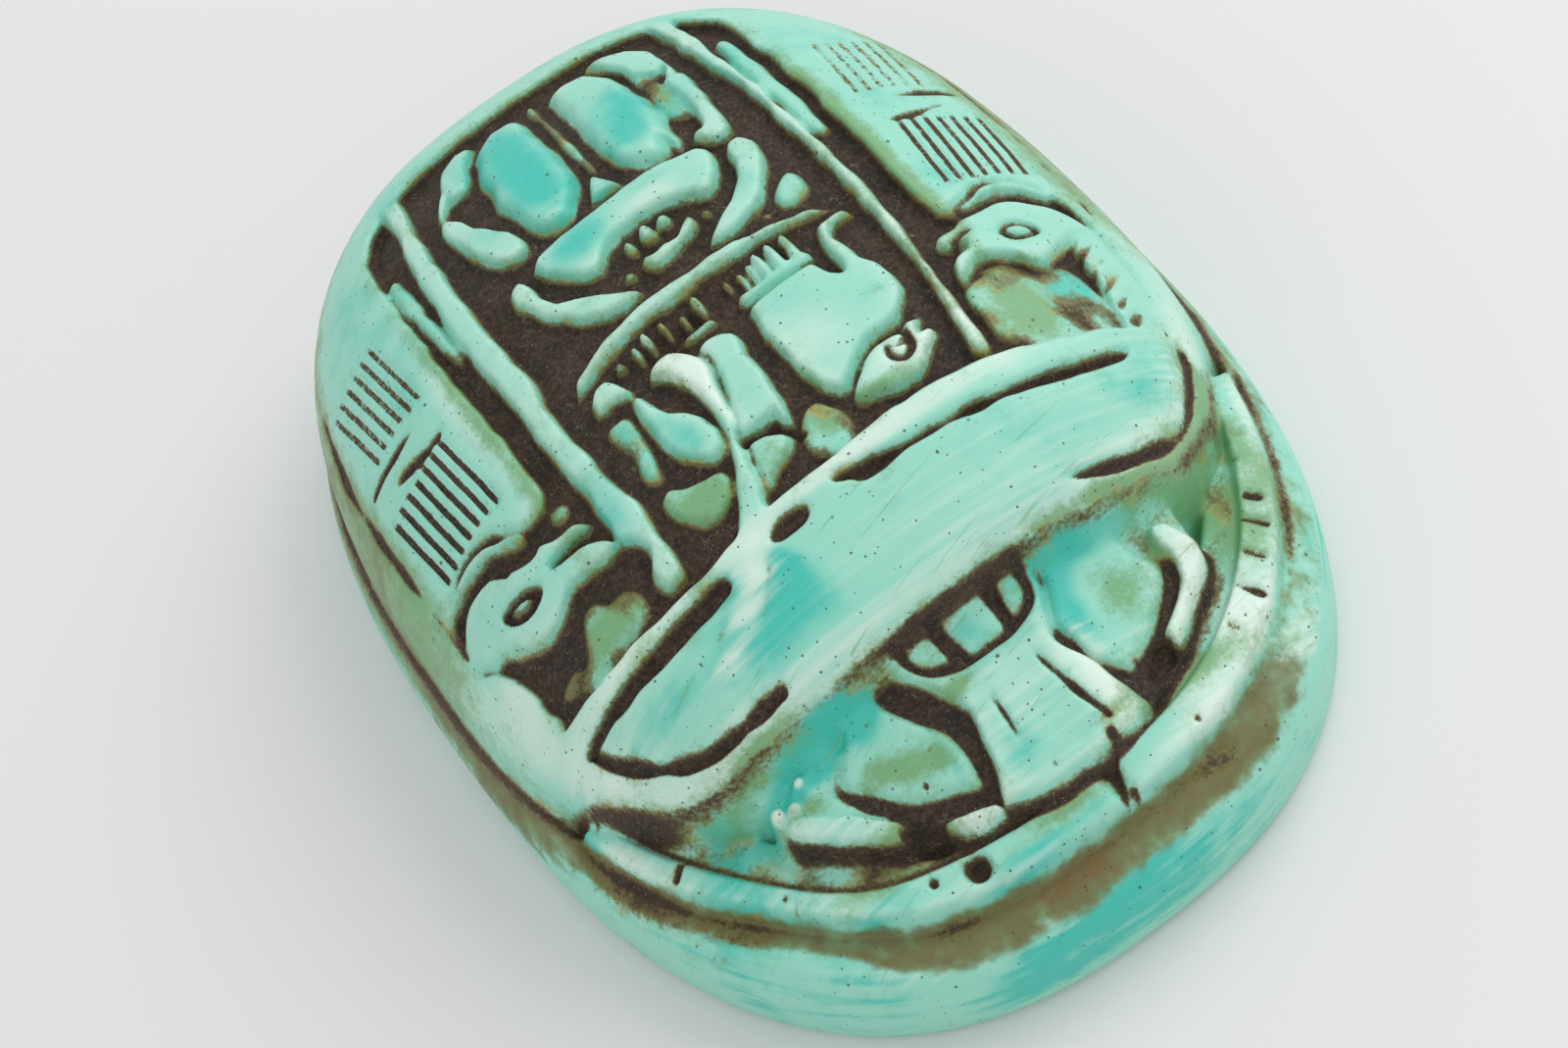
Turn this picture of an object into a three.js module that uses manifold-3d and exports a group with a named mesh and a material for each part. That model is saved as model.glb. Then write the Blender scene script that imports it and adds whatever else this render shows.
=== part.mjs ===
// A cast scarab amulet: an oval plinth, a domed beetle body with carved wing cases, a plain
// prothorax, a fan-shaped head and a ring of forelegs. It is one solid.
// Millimetres, +Z up. The origin is the centre of the underside, and the head points to -Y.
import * as THREE from 'three';
import { mergeVertices } from 'three/addons/utils/BufferGeometryUtils.js';
import Module from 'manifold-3d';

const wasm = await Module();
wasm.setup();

// Overall sizes
const amuletLength = 60;
const amuletWidth = 43.2;

// Plinth
const plinthHeight = 5.5;
const plinthPower = 2.48; // how square the oval is: 2 is an ellipse
const plinthTopRound = { inward: 1.5, down: 2.6 };
const plinthFootRound = { inward: 0.5, up: 0.8 };

// Domed body
const bodyHeight = 13.7; // from the top of the plinth to the crown
const bodyInset = 1.1; // from the plinth's edge to the body's foot, at the sides and the tail
const bodyFrontReach = 22; // from the middle to where the dome would meet the plinth in front
const bodyPower = 2.56;

// Carving depths, measured down from the dome
const fieldDepth = 0.95;
const patchDepth = 0.5;
const featherDepth = 0.4;
const grooveDepth = 0.75;

// Head and forelegs
const headBackHeight = 12.3; // at headBack, under the prothorax's front edge
const headFrontHeight = 9; // at headFront, the clypeus' front edge
const headSideFall = 0.28; // fall per millimetre away from the middle
const plateDepth = 0.7; // from the clypeus down to the side plates
const cutBelowPlate = 0.1; // how far the head's cut marks go under the plates
const shelfHeight = 6.9;
const shelfWidth = 4.3;
const ringHeight = 7.7;
const ringFall = 0.9; // from the arms' inner edge to their outer edge
const ringWidth = 2.1;
const ringSideInset = 1.25; // from the plinth's edge to the arms' outer edge
const ringFrontInset = 2.8;
const tickAngles = [-2.5, -2.38, -2.26, -1.02, -0.93, -0.84, -0.75, -0.66, -0.57, -0.48];
const tickDepth = 0.6;
const tickWidth = 0.42;
const sideLegHeight = 1;
const sideLegWidth = 1.1;

// Fineness of curves
const plinthSteps = 64;
const domeSteps = 38;
const domeRings = 10;
const curveStep = 1.1;
const capSteps = 4;
const squareEndWidth = 0.7; // ribbons narrower than this end square
const ringSteps = 48;

// Where the head starts and ends, where the arms end under the prothorax, and how far the arms
// sit off the middle, all in the drawing
const headBack = -17.5;
const headFront = -24.8;
const armsEnd = -11.5;
const armsGap = { x: 1.8, width: 0.9, from: -23.6 }; // between the two arms, in front of the head
const armsShift = 0.1;

// The carving is drawn on an amulet of this length and width, and follows the real one's.
const drawnLength = 60;
const drawnWidth = 43.2;
const alongScale = amuletLength / drawnLength;
const acrossScale = amuletWidth / drawnWidth;
const pastSide = 0.56 * drawnWidth; // cutting shapes reach this far, past the amulet's edge
const pastEnd = 0.56 * drawnLength;
const mergeDistance = 1e-4;
const aboveAll = plinthHeight + bodyHeight + 5;
const footing = 1.5; // how low the raised work reaches into the plinth

const plinthOval = {
  side: amuletWidth / 2,
  front: amuletLength / 2,
  rear: amuletLength / 2,
  power: plinthPower,
};
const legOval = {
  side: amuletWidth / 2 - ringSideInset,
  front: amuletLength / 2 - ringFrontInset,
  rear: amuletLength / 2 - ringFrontInset,
  power: plinthPower,
};
const bodyOval = {
  side: amuletWidth / 2 - bodyInset,
  front: bodyFrontReach * alongScale,
  rear: amuletLength / 2 - bodyInset,
  power: bodyPower,
};

// Outlines: each returns a closed list of Vector2 in the drawing's millimetres

function smoothClosed(points) {
  const knots = points.map(([x, y]) => new THREE.Vector3(x, y, 0));
  const curve = new THREE.CatmullRomCurve3(knots, true, 'centripetal');
  const steps = Math.max(points.length, Math.round(curve.getLength() / curveStep));
  return curve.getSpacedPoints(steps).slice(0, -1).map((p) => new THREE.Vector2(p.x, p.y));
}

function cornered(points) {
  return points.map(([x, y]) => new THREE.Vector2(x, y));
}

function oval(x, y, halfAcross, halfAlong, turn = 0, steps = 10) {
  const points = [];
  for (let i = 0; i < steps; i += 1) {
    const angle = (i / steps) * 2 * Math.PI;
    const point = new THREE.Vector2(halfAcross * Math.cos(angle), halfAlong * Math.sin(angle));
    points.push(point.rotateAround(new THREE.Vector2(), turn).add(new THREE.Vector2(x, y)));
  }
  return points;
}

// A ribbon along a curve through a few points, each given as x, y and the width there
function stroke(points, step = curveStep) {
  const curve = new THREE.SplineCurve(points.map(([x, y]) => new THREE.Vector2(x, y)));
  const widths = new THREE.SplineCurve(points.map((p, i) => new THREE.Vector2(i, p[2])));
  const steps = Math.max(points.length - 1, Math.round(curve.getLength() / step));
  const left = [];
  const right = [];
  for (let i = 0; i <= steps; i += 1) {
    const centre = curve.getPoint(i / steps);
    const half = widths.getPoint(i / steps).y / 2;
    const along = curve.getTangent(i / steps);
    const across = new THREE.Vector2(-along.y, along.x).multiplyScalar(half);
    left.push(centre.clone().add(across));
    right.push(centre.clone().sub(across));
  }
  const endCap = roundCap(left[steps], right[steps]);
  const startCap = roundCap(right[0], left[0]);
  return [...right, ...endCap.reverse(), ...left.reverse(), ...startCap.reverse()];
}

// The points of a half circle from one side of a ribbon's end to the other, without its ends
function roundCap(from, to) {
  const centre = from.clone().add(to).multiplyScalar(0.5);
  const points = [];
  if (from.distanceTo(to) > squareEndWidth) {
    for (let i = 1; i < capSteps; i += 1) {
      points.push(from.clone().rotateAround(centre, (-Math.PI * i) / capSteps));
    }
  }
  return points;
}

function mirrored(outline) {
  return outline.map((p) => new THREE.Vector2(-p.x, p.y)).reverse();
}

function bothSides(outline) {
  return [outline, mirrored(outline)];
}

// Solids

function toSolid(geometry) {
  const bare = geometry.clone();
  bare.deleteAttribute('normal');
  bare.deleteAttribute('uv');
  const merged = mergeVertices(bare, mergeDistance);
  const index = Array.from(merged.index.array);
  const kept = [];
  for (let i = 0; i < index.length; i += 3) {
    const corners = index.slice(i, i + 3);
    if (new Set(corners).size === 3) kept.push(...corners);
  }
  const mesh = new wasm.Mesh({
    numProp: 3,
    vertProperties: merged.attributes.position.array,
    triVerts: new Uint32Array(kept),
  });
  return new wasm.Manifold(mesh);
}

// A round solid turned from a profile of [share of the oval, height], pressed into an oval plan
function ovalSolid(profile, form, steps) {
  const turned = new THREE.LatheGeometry(profile.map(([r, z]) => new THREE.Vector2(r, z)), steps);
  turned.rotateX(Math.PI / 2);
  const position = turned.attributes.position;
  for (let i = 0; i < position.count; i += 1) {
    const share = Math.hypot(position.getX(i), position.getY(i));
    const cos = position.getX(i) / (share || 1);
    const sin = position.getY(i) / (share || 1);
    const reach = sin < 0 ? form.front : form.rear;
    position.setX(i, share * form.side * Math.sign(cos) * Math.abs(cos) ** (2 / form.power));
    position.setY(i, share * reach * Math.sign(sin) * Math.abs(sin) ** (2 / form.power));
  }
  return toSolid(turned);
}

function plinth() {
  const { inward, down } = plinthTopRound;
  const foot = plinthFootRound;
  const half = amuletWidth / 2;
  const footMiddle = 0.3; // where the foot's rounding bends most, as a share of it
  const profile = [[0, 0], [(half - foot.inward) / half, 0]];
  profile.push([(half - foot.inward * footMiddle) / half, foot.up * footMiddle]);
  profile.push([1, foot.up]);
  for (let i = 0; i <= capSteps; i += 1) {
    const angle = (i / capSteps) * (Math.PI / 2);
    profile.push([
      (half - inward * (1 - Math.cos(angle))) / half,
      plinthHeight - down * (1 - Math.sin(angle)),
    ]);
  }
  profile.push([0, plinthHeight]);
  return ovalSolid(profile, plinthOval, plinthSteps);
}

// The body's dome, or a copy of it sunk by a depth, on a straight foot that stands in the plinth
function dome(sunk) {
  const profile = [[0, footing], [1, footing]];
  for (let i = 0; i < domeRings; i += 1) {
    const share = Math.cos((i / domeRings) * (Math.PI / 2)) ** 0.8;
    profile.push([share, plinthHeight - sunk + bodyHeight * Math.sqrt(1 - share ** bodyPower)]);
  }
  profile.push([0, plinthHeight - sunk + bodyHeight]);
  return ovalSolid(profile, bodyOval, domeSteps);
}

function scaled(outline) {
  return outline.map((p) => new THREE.Vector2(p.x * acrossScale, p.y * alongScale));
}

// A prism on an outline of the drawing, whose top follows topHeight(x, y)
function prism(outline, bottom, topHeight) {
  const shape = new THREE.Shape(scaled(outline));
  const geometry = new THREE.ExtrudeGeometry(shape, { depth: 1, bevelEnabled: false });
  const position = geometry.attributes.position;
  for (let i = 0; i < position.count; i += 1) {
    const top = topHeight(position.getX(i) / acrossScale, position.getY(i) / alongScale);
    position.setZ(i, position.getZ(i) > 0.5 ? top : bottom);
  }
  return toSolid(geometry);
}

function column(outline) {
  return prism(outline, footing, () => aboveAll);
}

function union(solids) {
  return solids.reduce((sum, solid) => sum.add(solid));
}

function columns(outlines) {
  return union(outlines.map(column));
}

// Body outline and fields

function prothoraxFront() {
  return [[-19.4, -9.6], [-18, -12], [-16.2, -14.4], [-13.6, -16.4], [-10, -17.1], [-4, -17.25], [0, -17.05],
    [5, -17.05], [10, -17.1], [13.8, -16.4], [16.3, -14.6], [18.2, -11.8], [19.4, -9.6]];
}

// Everything in front of the prothorax, where the head and the forelegs lie low
function frontRegion() {
  const edge = new THREE.SplineCurve(cornered(prothoraxFront())).getSpacedPoints(22);
  const rear = edge[0].y;
  const before = cornered([[pastSide, rear], [pastSide, -pastEnd], [-pastSide, -pastEnd], [-pastSide, rear]]);
  return [...edge, ...before].reverse();
}

// The sunk field behind the prothorax: the middle panel, the channels and the falcons' ground
function field() {
  const side = [[5, 22.3], [9.2, 21.3], [11.2, 19], [11.4, 10], [11.4, 0], [12, -2], [13.2, -1.9],
    [14.2, -0.6], [16, -0.1], [17.6, -0.8], [18.4, -3], [18.3, -6.5], [17.7, -9.2]];
  const frontEdge = [[16.8, -10.9], [12.5, -10.9], [8.5, -10.1], [4.5, -9.95], [-3.7, -10.35], [-8, -10.9],
    [-13.5, -10.7], [-16.8, -10.1]];
  const otherSide = side.map(([x, y]) => [-x, y]).reverse();
  return cornered([...side, ...frontEdge, ...otherSide]).reverse();
}

// Raised work in the middle panel

function bars() {
  return [
    stroke([[-8.3, 21.5, 1.2], [-9.2, 14, 1.7], [-9.4, 5, 1.7], [-9.3, -2, 1.4], [-9.1, -6.4, 1.8]], 3),
    stroke([[-9.1, -6.2, 1.5], [-8.9, -8, 1], [-9, -9.7, 1.3]]),
    stroke([[8.6, 21.3, 1], [9, 14, 0.9], [9.6, 4, 0.9], [9.3, -4, 0.8], [8.6, -9.4, 1]], 3),
  ];
}

function littleScarab() {
  const wingCase = (x) => oval(x, 15.4, 2, 5.2, 0, 14);
  const rightHindLeg = stroke([[4.6, 20.2, 1.2], [6.2, 18.6, 1.5], [6.4, 16.9, 1.3]]);
  const rightShin = stroke([[6.6, 14.8, 1.4], [6.7, 12, 1.3], [6.2, 9.9, 1.6]]);
  const leftHindLeg = stroke([[-4, 21, 1.2], [-5.3, 18.9, 1.2], [-5.9, 17.4, 1.1]]);
  const leftShin = stroke([[-6.8, 16, 0.8], [-6.6, 13, 1.3], [-5.3, 10.9, 1.7]]);
  const shield = smoothClosed([[-5.3, 9.2], [0, 10], [5.5, 9.3], [5.1, 7.5], [3.7, 6.1], [1.9, 7.3],
    [-0.8, 7.3], [-3, 6], [-4.8, 7.3]]);
  const leftForeleg = stroke([[-6.3, 8.4, 1.2], [-6.1, 6.4, 1.6], [-4.6, 4.6, 1.8], [-2.2, 3.8, 0.7]]);
  const rightForeleg = stroke([[6.5, 7.9, 1.5], [6.2, 6, 1.7], [4.6, 4.2, 1.6], [2.4, 3.5, 0.6]]);
  const face = [oval(-0.9, 6.4, 0.3, 0.6), oval(0.15, 6.5, 0.4, 0.7), oval(1.2, 6.7, 0.35, 0.5)];
  const mouth = stroke([[-0.6, 4.8, 1], [0.9, 4.8, 1], [2, 5.3, 0.9]]);
  const wedge = cornered([[-1, 10.3], [1.1, 10.3], [0.05, 12]]);
  const legs = [rightHindLeg, rightShin, leftHindLeg, leftShin, leftForeleg, rightForeleg];
  return [wingCase(-2.35), wingCase(3.05), wedge, shield, ...legs, ...face, mouth];
}

function skyBow() {
  return [stroke([[-7.1, 1.1, 0.4], [-4, 2.1, 0.9], [0, 2.4, 0.95], [4, 2.2, 0.9], [7.6, 1.8, 0.3]], 1.6)];
}

function toothRow() {
  const teeth = [];
  const half = 0.21;
  const top = 1.1;
  for (const x of [-4, -3.2, -2.25, -1.25, -0.25, 1.5, 2.4, 3.2, 4, 4.85]) {
    const bottom = x > 0 ? -0.4 : 0.1; // the right-hand teeth join the band under them
    teeth.push(cornered([[x - half, bottom], [x + half, bottom], [x + half, top], [x - half, top]]));
  }
  teeth.push(cornered([[1.2, -0.75], [5.3, -0.75], [5.3, -0.1], [1.2, -0.1]]));
  teeth.push(cornered([[-2.1, -0.7], [0, -0.7], [0, -0.2], [-2.1, -0.2]]));
  return teeth;
}

function seatedFigures() {
  const rightBody = smoothClosed([[1.3, -1], [5.3, -0.9], [5.9, -2.2], [6.2, -0.4], [6.4, 1.1], [8.2, 1],
    [7.1, 0], [7.2, -2.2], [7.8, -4.2], [6.7, -6], [4.2, -6.6], [2.2, -7.8], [1.2, -5]]);
  const rightFace = smoothClosed([[2.3, -8.4], [3.8, -7.2], [5.3, -6.6], [7.2, -6.6], [7.4, -8], [5.3, -9.3],
    [3.4, -8.9]]);
  const leftBody = stroke([[-5.3, -1.6, 0.5], [-5, -3.4, 1.4], [-4.4, -6, 2.3]]);
  const leftBack = stroke([[-0.7, -1.8, 1.6], [-0.9, -4, 2], [-1.3, -6.2, 2]]);
  const leftEar = smoothClosed([[-7.3, -0.7], [-6.7, 0.5], [-5.3, 0.2], [-5.1, -1.1], [-6.3, -0.9]]);
  const feet = [oval(-5.9, -7.9, 1.6, 0.9, -0.3), oval(-2.2, -8, 1.2, 0.8, 0.2)];
  return [rightBody, rightFace, leftBody, leftBack, leftEar, ...feet];
}

function cobra() {
  return [
    stroke([[-3.9, -1.1, 0.5], [-3, -1, 1.2], [-2.4, -2.6, 1.6], [-2.6, -5.4, 0.7], [-3.5, -8, 1],
      [-4.7, -10.6, 2]], 1),
  ];
}

// Raised work beside the panel

function falcons() {
  return [
    stroke([[-17.3, -1.4, 0.4], [-16, -0.95, 0.75], [-14.5, -1.3, 0.8], [-13.5, -2.2, 0.5]]),
    smoothClosed([[-18.5, -3.2], [-17.2, -2], [-15, -2.2], [-13.9, -3.3], [-12.4, -3.5], [-10.5, -4.6],
      [-12.7, -4.9], [-10.4, -6.2], [-12.7, -6.1], [-14.4, -7], [-16.6, -6.1], [-17.8, -4.6]]),
    stroke([[-18.3, -4.8, 0.8], [-17.7, -7.2, 1.4], [-17.3, -9.4, 0.9]]),
    stroke([[13.1, -1.7, 0.4], [14.2, -0.8, 0.8], [15.8, -0.6, 0.8], [17.2, -1.5, 0.5]]),
    smoothClosed([[17.9, -4.2], [16.9, -2.7], [15, -2], [12.5, -2.4], [10.4, -3.4], [11.2, -4], [10, -5.4],
      [10.1, -6], [12.2, -5.3], [14, -6.2], [15.7, -5.2], [16.9, -5.6]]),
    stroke([[17.2, -5.2, 1], [16.8, -8, 1.6], [16.2, -10.5, 1.6]]),
  ];
}

// Low ground that stands part of the way up in the sunk field
function patches() {
  const leftNest = smoothClosed([[-16, -9.2], [-13.8, -8], [-12.4, -7.4], [-10.3, -8.3], [-10.5, -9.8],
    [-14, -10]]);
  const rightNest = smoothClosed([[10, -6.4], [12.6, -6], [13.2, -9.5], [14.6, -10.6], [11.8, -10.6],
    [9.8, -9.4]]);
  return [leftNest, rightNest, oval(6.9, 4.1, 0.9, 0.9), oval(0.5, -8.9, 1.2, 1),
    stroke([[10.2, 12, 1], [10.2, 7, 1]], 5)];
}

// Cut lines

function feathers() {
  const lines = [];
  const first = 13.2;
  const pitch = 0.66;
  const lean = 0.5;
  const half = 0.14;
  for (const group of [{ from: -0.1, to: 5.2, count: 7 }, { from: 8, to: 13.8, count: 6 }]) {
    for (let i = 0; i < group.count; i += 1) {
      const x = first + pitch * i;
      lines.push(cornered([[x - half, group.from], [x + half, group.from], [x + lean + half, group.to],
        [x + lean - half, group.to]]));
    }
    lines.push(cornered([[first, group.to + 0.3], [17.7, group.to], [17.7, group.to + 0.4],
      [first, group.to + 0.7]]));
  }
  return lines.flatMap(bothSides);
}

function rimLines() {
  return bothSides(stroke([[18.5, -1, 0.35], [18.7, 4, 0.35], [18.5, 10, 0.35], [17.3, 16, 0.3]], 3));
}

function eyes() {
  return [oval(-15, -4.85, 1, 0.65, 0, 8), oval(14.2, -4.15, 0.8, 0.6, 0, 8)];
}

function prothoraxGrooves() {
  return [
    stroke([[-16.6, -11.4, 0.4], [-12, -11.7, 0.9], [-7.7, -11.8, 0.9]], 2.5),
    stroke([[-16.5, -11.6, 0.4], [-15.2, -13.8, 0.4], [-12.4, -15.9, 0.45], [-8.3, -16.3, 0.5]], 1.8),
    oval(-3.4, -11.35, 1.15, 0.45, 0, 8),
    stroke([[-0.3, -11.3, 0.5], [2, -11.5, 0.75], [8, -11.9, 0.65], [14.3, -12.1, 0.3]], 2.5),
    stroke([[16.9, -12, 0.35], [15.7, -14.1, 0.45], [12.6, -15.95, 0.55], [8.1, -16.2, 0.35]], 1.8),
  ];
}

// Head

function headTop(x, y) {
  const share = (y - headBack) / (headFront - headBack);
  const middle = headBackHeight + (headFrontHeight - headBackHeight) * share;
  return middle - headSideFall * Math.max(Math.abs(x) - 3, 0);
}

function plateTop(x, y) {
  return headTop(x, y) - plateDepth;
}

function head() {
  const frontEdge = [[3.2, -25], [1, -25.3], [-1, -25.2], [-3, -24.8]];
  const fan = cornered([[11.8, -15], [12.1, -19.4], [10.5, -21.3], [8, -22.9], [5.3, -24.4], ...frontEdge,
    [-5.4, -23.8], [-7.8, -22.8], [-11.6, -20.2], [-11.9, -19.2], [-11.8, -15]]);
  const clypeus = cornered([[0.4, -15.5], [4.6, -17.4], [3.9, -19.3], [3.6, -20.2], [4.3, -21.6],
    [5.3, -24.3], ...frontEdge, [-2, -21.5], [-1.9, -20.3], [-2.9, -18.4], [-3.4, -17]]);
  const strips = [
    stroke([[-11.3, -19.6, 0.7], [-9.7, -21, 0.9], [-7.7, -22.4, 0.8]]),
    stroke([[-5.4, -23.4, 0.8], [-3.2, -24.4, 0.7]]),
    stroke([[9.9, -18.1, 0.8], [11.3, -19.4, 1], [9.8, -21.2, 0.9], [7.9, -22.5, 0.9]]),
  ];
  const cuts = [
    oval(-1.8, -17.7, 0.65, 0.6, 0, 8),
    cornered([[-0.7, -17], [1.9, -17], [1.8, -18.9], [-0.3, -18.9]]).reverse(),
    oval(3, -17.7, 0.6, 0.6, 0, 8),
    stroke([[-0.55, -21, 0.35], [-0.6, -22.7, 0.3]]),
    stroke([[2.3, -20.7, 0.3], [3.2, -23.9, 0.35]]),
    oval(-6.6, -23, 0.95, 0.6, -0.6, 8),
    oval(7, -23, 0.95, 0.6, 0.6, 8),
  ];
  const cutFloor = prism(fan, footing, (x, y) => plateTop(x, y) - cutBelowPlate);
  const raised = [clypeus, ...strips].map((outline) => prism(outline, footing, headTop));
  return union([prism(fan, footing, plateTop), ...raised]).subtract(columns(cuts).subtract(cutFloor));
}

// Forelegs: a low shelf round the head, with two banded arms on its outer edge

// A ring on the forelegs' oval from its outer edge inwards, with a flat or a sloping top
function legRing(width, outerHeight, innerHeight) {
  const inner = 1 - width / legOval.front;
  const profile = [[inner, footing], [1, footing], [1, outerHeight], [inner, innerHeight], [inner, footing]];
  return ovalSolid(profile, legOval, ringSteps);
}

function legPoint(angle, inset) {
  const cos = Math.cos(angle);
  const sin = Math.sin(angle);
  const x = (legOval.side - inset) * Math.sign(cos) * Math.abs(cos) ** (2 / legOval.power);
  const y = (legOval.front - inset) * Math.sign(sin) * Math.abs(sin) ** (2 / legOval.power);
  return new THREE.Vector2(x, y);
}

function ticks() {
  const boxes = [];
  for (const angle of tickAngles) {
    const outer = legPoint(angle, 0);
    const middle = legPoint(angle, ringWidth / 2);
    const box = new THREE.BoxGeometry(tickWidth, ringWidth * 0.8, 2 * tickDepth);
    box.rotateZ(outer.clone().sub(middle).angle() - Math.PI / 2);
    box.translate(middle.x, middle.y, ringHeight - ringFall / 2);
    boxes.push(toSolid(box));
  }
  return union(boxes);
}

function forelegs() {
  const shelf = legRing(shelfWidth, shelfHeight, shelfHeight);
  const arms = legRing(ringWidth, ringHeight - ringFall, ringHeight).subtract(ticks());
  const gapEnds = [-pastEnd, armsGap.from].map((y) => [armsGap.x, y, armsGap.width]);
  const gap = column(stroke(gapEnds, drawnLength));
  const front = column(cornered([[-pastSide, -pastEnd], [pastSide, -pastEnd], [pastSide, armsEnd],
    [-pastSide, armsEnd]]));
  const legs = shelf.add(arms.subtract(gap)).intersect(front);
  return legs.translate(armsShift * acrossScale, 0, 0);
}

function sideLegs() {
  const path = [[20.2, 8], [20.4, 1], [20.2, -5], [19.4, -11.6]];
  const leg = stroke(path.map(([x, y]) => [x, y, sideLegWidth]), 3);
  return union(bothSides(leg).map((outline) => prism(outline, footing, () => plinthHeight + sideLegHeight)));
}

function carvedBody() {
  const signs = [...littleScarab(), ...skyBow(), ...toothRow(), ...seatedFigures(), ...cobra()];
  const raised = columns([...bars(), ...signs, ...falcons()]);
  const sunk = column(field()).subtract(raised).subtract(dome(fieldDepth));
  const lowGround = columns(patches()).intersect(dome(patchDepth));
  const feathered = columns([...feathers(), ...rimLines()]).subtract(dome(featherDepth));
  const grooved = columns([...eyes(), ...prothoraxGrooves()]).subtract(dome(grooveDepth));
  const front = prism(frontRegion(), 0.5, () => aboveAll);
  return dome(0).subtract(sunk).add(lowGround).subtract(feathered).subtract(grooved).subtract(front);
}

const glazedCast = new THREE.MeshStandardMaterial({ color: 0x6fc9b4, roughness: 0.5, metalness: 0 });

function toMesh(solid, name, material) {
  const made = solid.getMesh();
  const geometry = new THREE.BufferGeometry();
  geometry.setAttribute('position', new THREE.BufferAttribute(made.vertProperties, made.numProp));
  geometry.setIndex(new THREE.BufferAttribute(made.triVerts, 1));
  const mesh = new THREE.Mesh(geometry, material);
  mesh.name = name;
  return mesh;
}

const amulet = union([plinth(), carvedBody(), head(), forelegs(), sideLegs()]);

const group = new THREE.Group();
group.add(toMesh(amulet, 'scarab_amulet', glazedCast));

export default group;
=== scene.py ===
# A cast scarab amulet. One fine surface takes the place of the faceted solid: the same plinth, body,
# head and forelegs, with the softer carving, the stain rubbed into it, the worn, glazed colours and a
# little painted shade and painted highlight.
import math

import bpy
import numpy as np
from mathutils import Matrix, Vector


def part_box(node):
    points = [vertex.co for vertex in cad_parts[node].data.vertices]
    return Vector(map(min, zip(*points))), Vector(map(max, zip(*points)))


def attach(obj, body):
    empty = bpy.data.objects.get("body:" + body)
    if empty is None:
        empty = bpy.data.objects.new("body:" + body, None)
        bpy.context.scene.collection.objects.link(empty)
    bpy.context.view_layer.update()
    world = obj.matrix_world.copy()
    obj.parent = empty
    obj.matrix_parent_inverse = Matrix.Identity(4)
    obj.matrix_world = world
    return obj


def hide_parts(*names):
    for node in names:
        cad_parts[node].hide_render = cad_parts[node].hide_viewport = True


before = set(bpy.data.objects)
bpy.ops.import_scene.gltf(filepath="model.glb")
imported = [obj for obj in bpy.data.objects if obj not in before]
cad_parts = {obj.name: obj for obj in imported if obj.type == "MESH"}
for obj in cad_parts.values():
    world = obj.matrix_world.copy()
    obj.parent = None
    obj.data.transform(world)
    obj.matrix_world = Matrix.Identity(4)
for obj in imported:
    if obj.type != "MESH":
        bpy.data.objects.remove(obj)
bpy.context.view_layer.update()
low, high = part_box("scarab_amulet")

# The amulet. Everything is drawn in millimetres at this size, and scaled to the frame's box at the end.
amulet = {
    "width": 43.2, "length": 60.0, "height": 19.2,
    "plinthHeight": 5.5, "plinthPower": 2.48,
    "topRound": (1.5, 2.6), "footRound": (0.5, 0.8),       # inward and down, inward and up
    "bodyHeight": 13.7, "bodySide": 20.5, "bodyFront": 22.0, "bodyRear": 28.9, "bodyPower": 2.56,
    "fieldDepth": 0.95, "featherDepth": 0.4, "grooveDepth": 0.75,
    "wallSlope": 7.0,                                      # of the prothorax's front
    "headBack": -17.5, "headBackHeight": 12.6, "headFront": -24.8, "headFrontHeight": 9.0,
    "headSideFall": 0.28, "plateDepth": 0.7,
    "ringSide": 20.35, "ringFront": 27.2, "ringShift": 0.1, "shelfHeight": 6.9, "shelfWidth": 4.3,
    "armHeight": 7.7, "armFall": 0.9, "armWidth": 2.1, "armsEnd": -11.5,
    "leftArmWorn": 0.32, "ringWorn": 0.03,                 # shares of the arm's width, and of the ring
    "armsGap": {"x": 1.75, "width": 0.45, "from": -23.0, "depth": 0.9},
    "fanBelowPlates": 0.25, "eyeSink": 0.55, "eyeLift": 0.8,
    "rimDrop": 0.8, "rimRound": 1.2,                       # of the prothorax's front edge
    "sideLegHeight": 1.0,
    "pitch": 0.05,                                         # of the height map that the carving is cut in
    "quadsAcross": 264, "quadsAlong": 322, "settleSteps": 150,
    "netEdge": 0.986, "underRing": 0.7,                    # shares of the plinth's oval
    "groundFine": 0.035, "groundCoarse": 0.03,             # how rough the sunk field is
    "castFine": 0.006, "castCoarse": 0.02,                 # and how uneven the whole casting is
    "meltRadius": 0.08,                                    # how far the casting softened every edge
    "wobble": 0.055,                                       # how far the hand-cut edges stray
}

# The height map: one height for each point of the plan, rows along y and columns along x
pitch = amulet["pitch"]
columnX = np.arange(-22, 22 + pitch / 2, pitch)
rowY = np.arange(-30.5, 30.5 + pitch / 2, pitch)
planX, planY = np.meshgrid(columnX, rowY)


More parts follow.
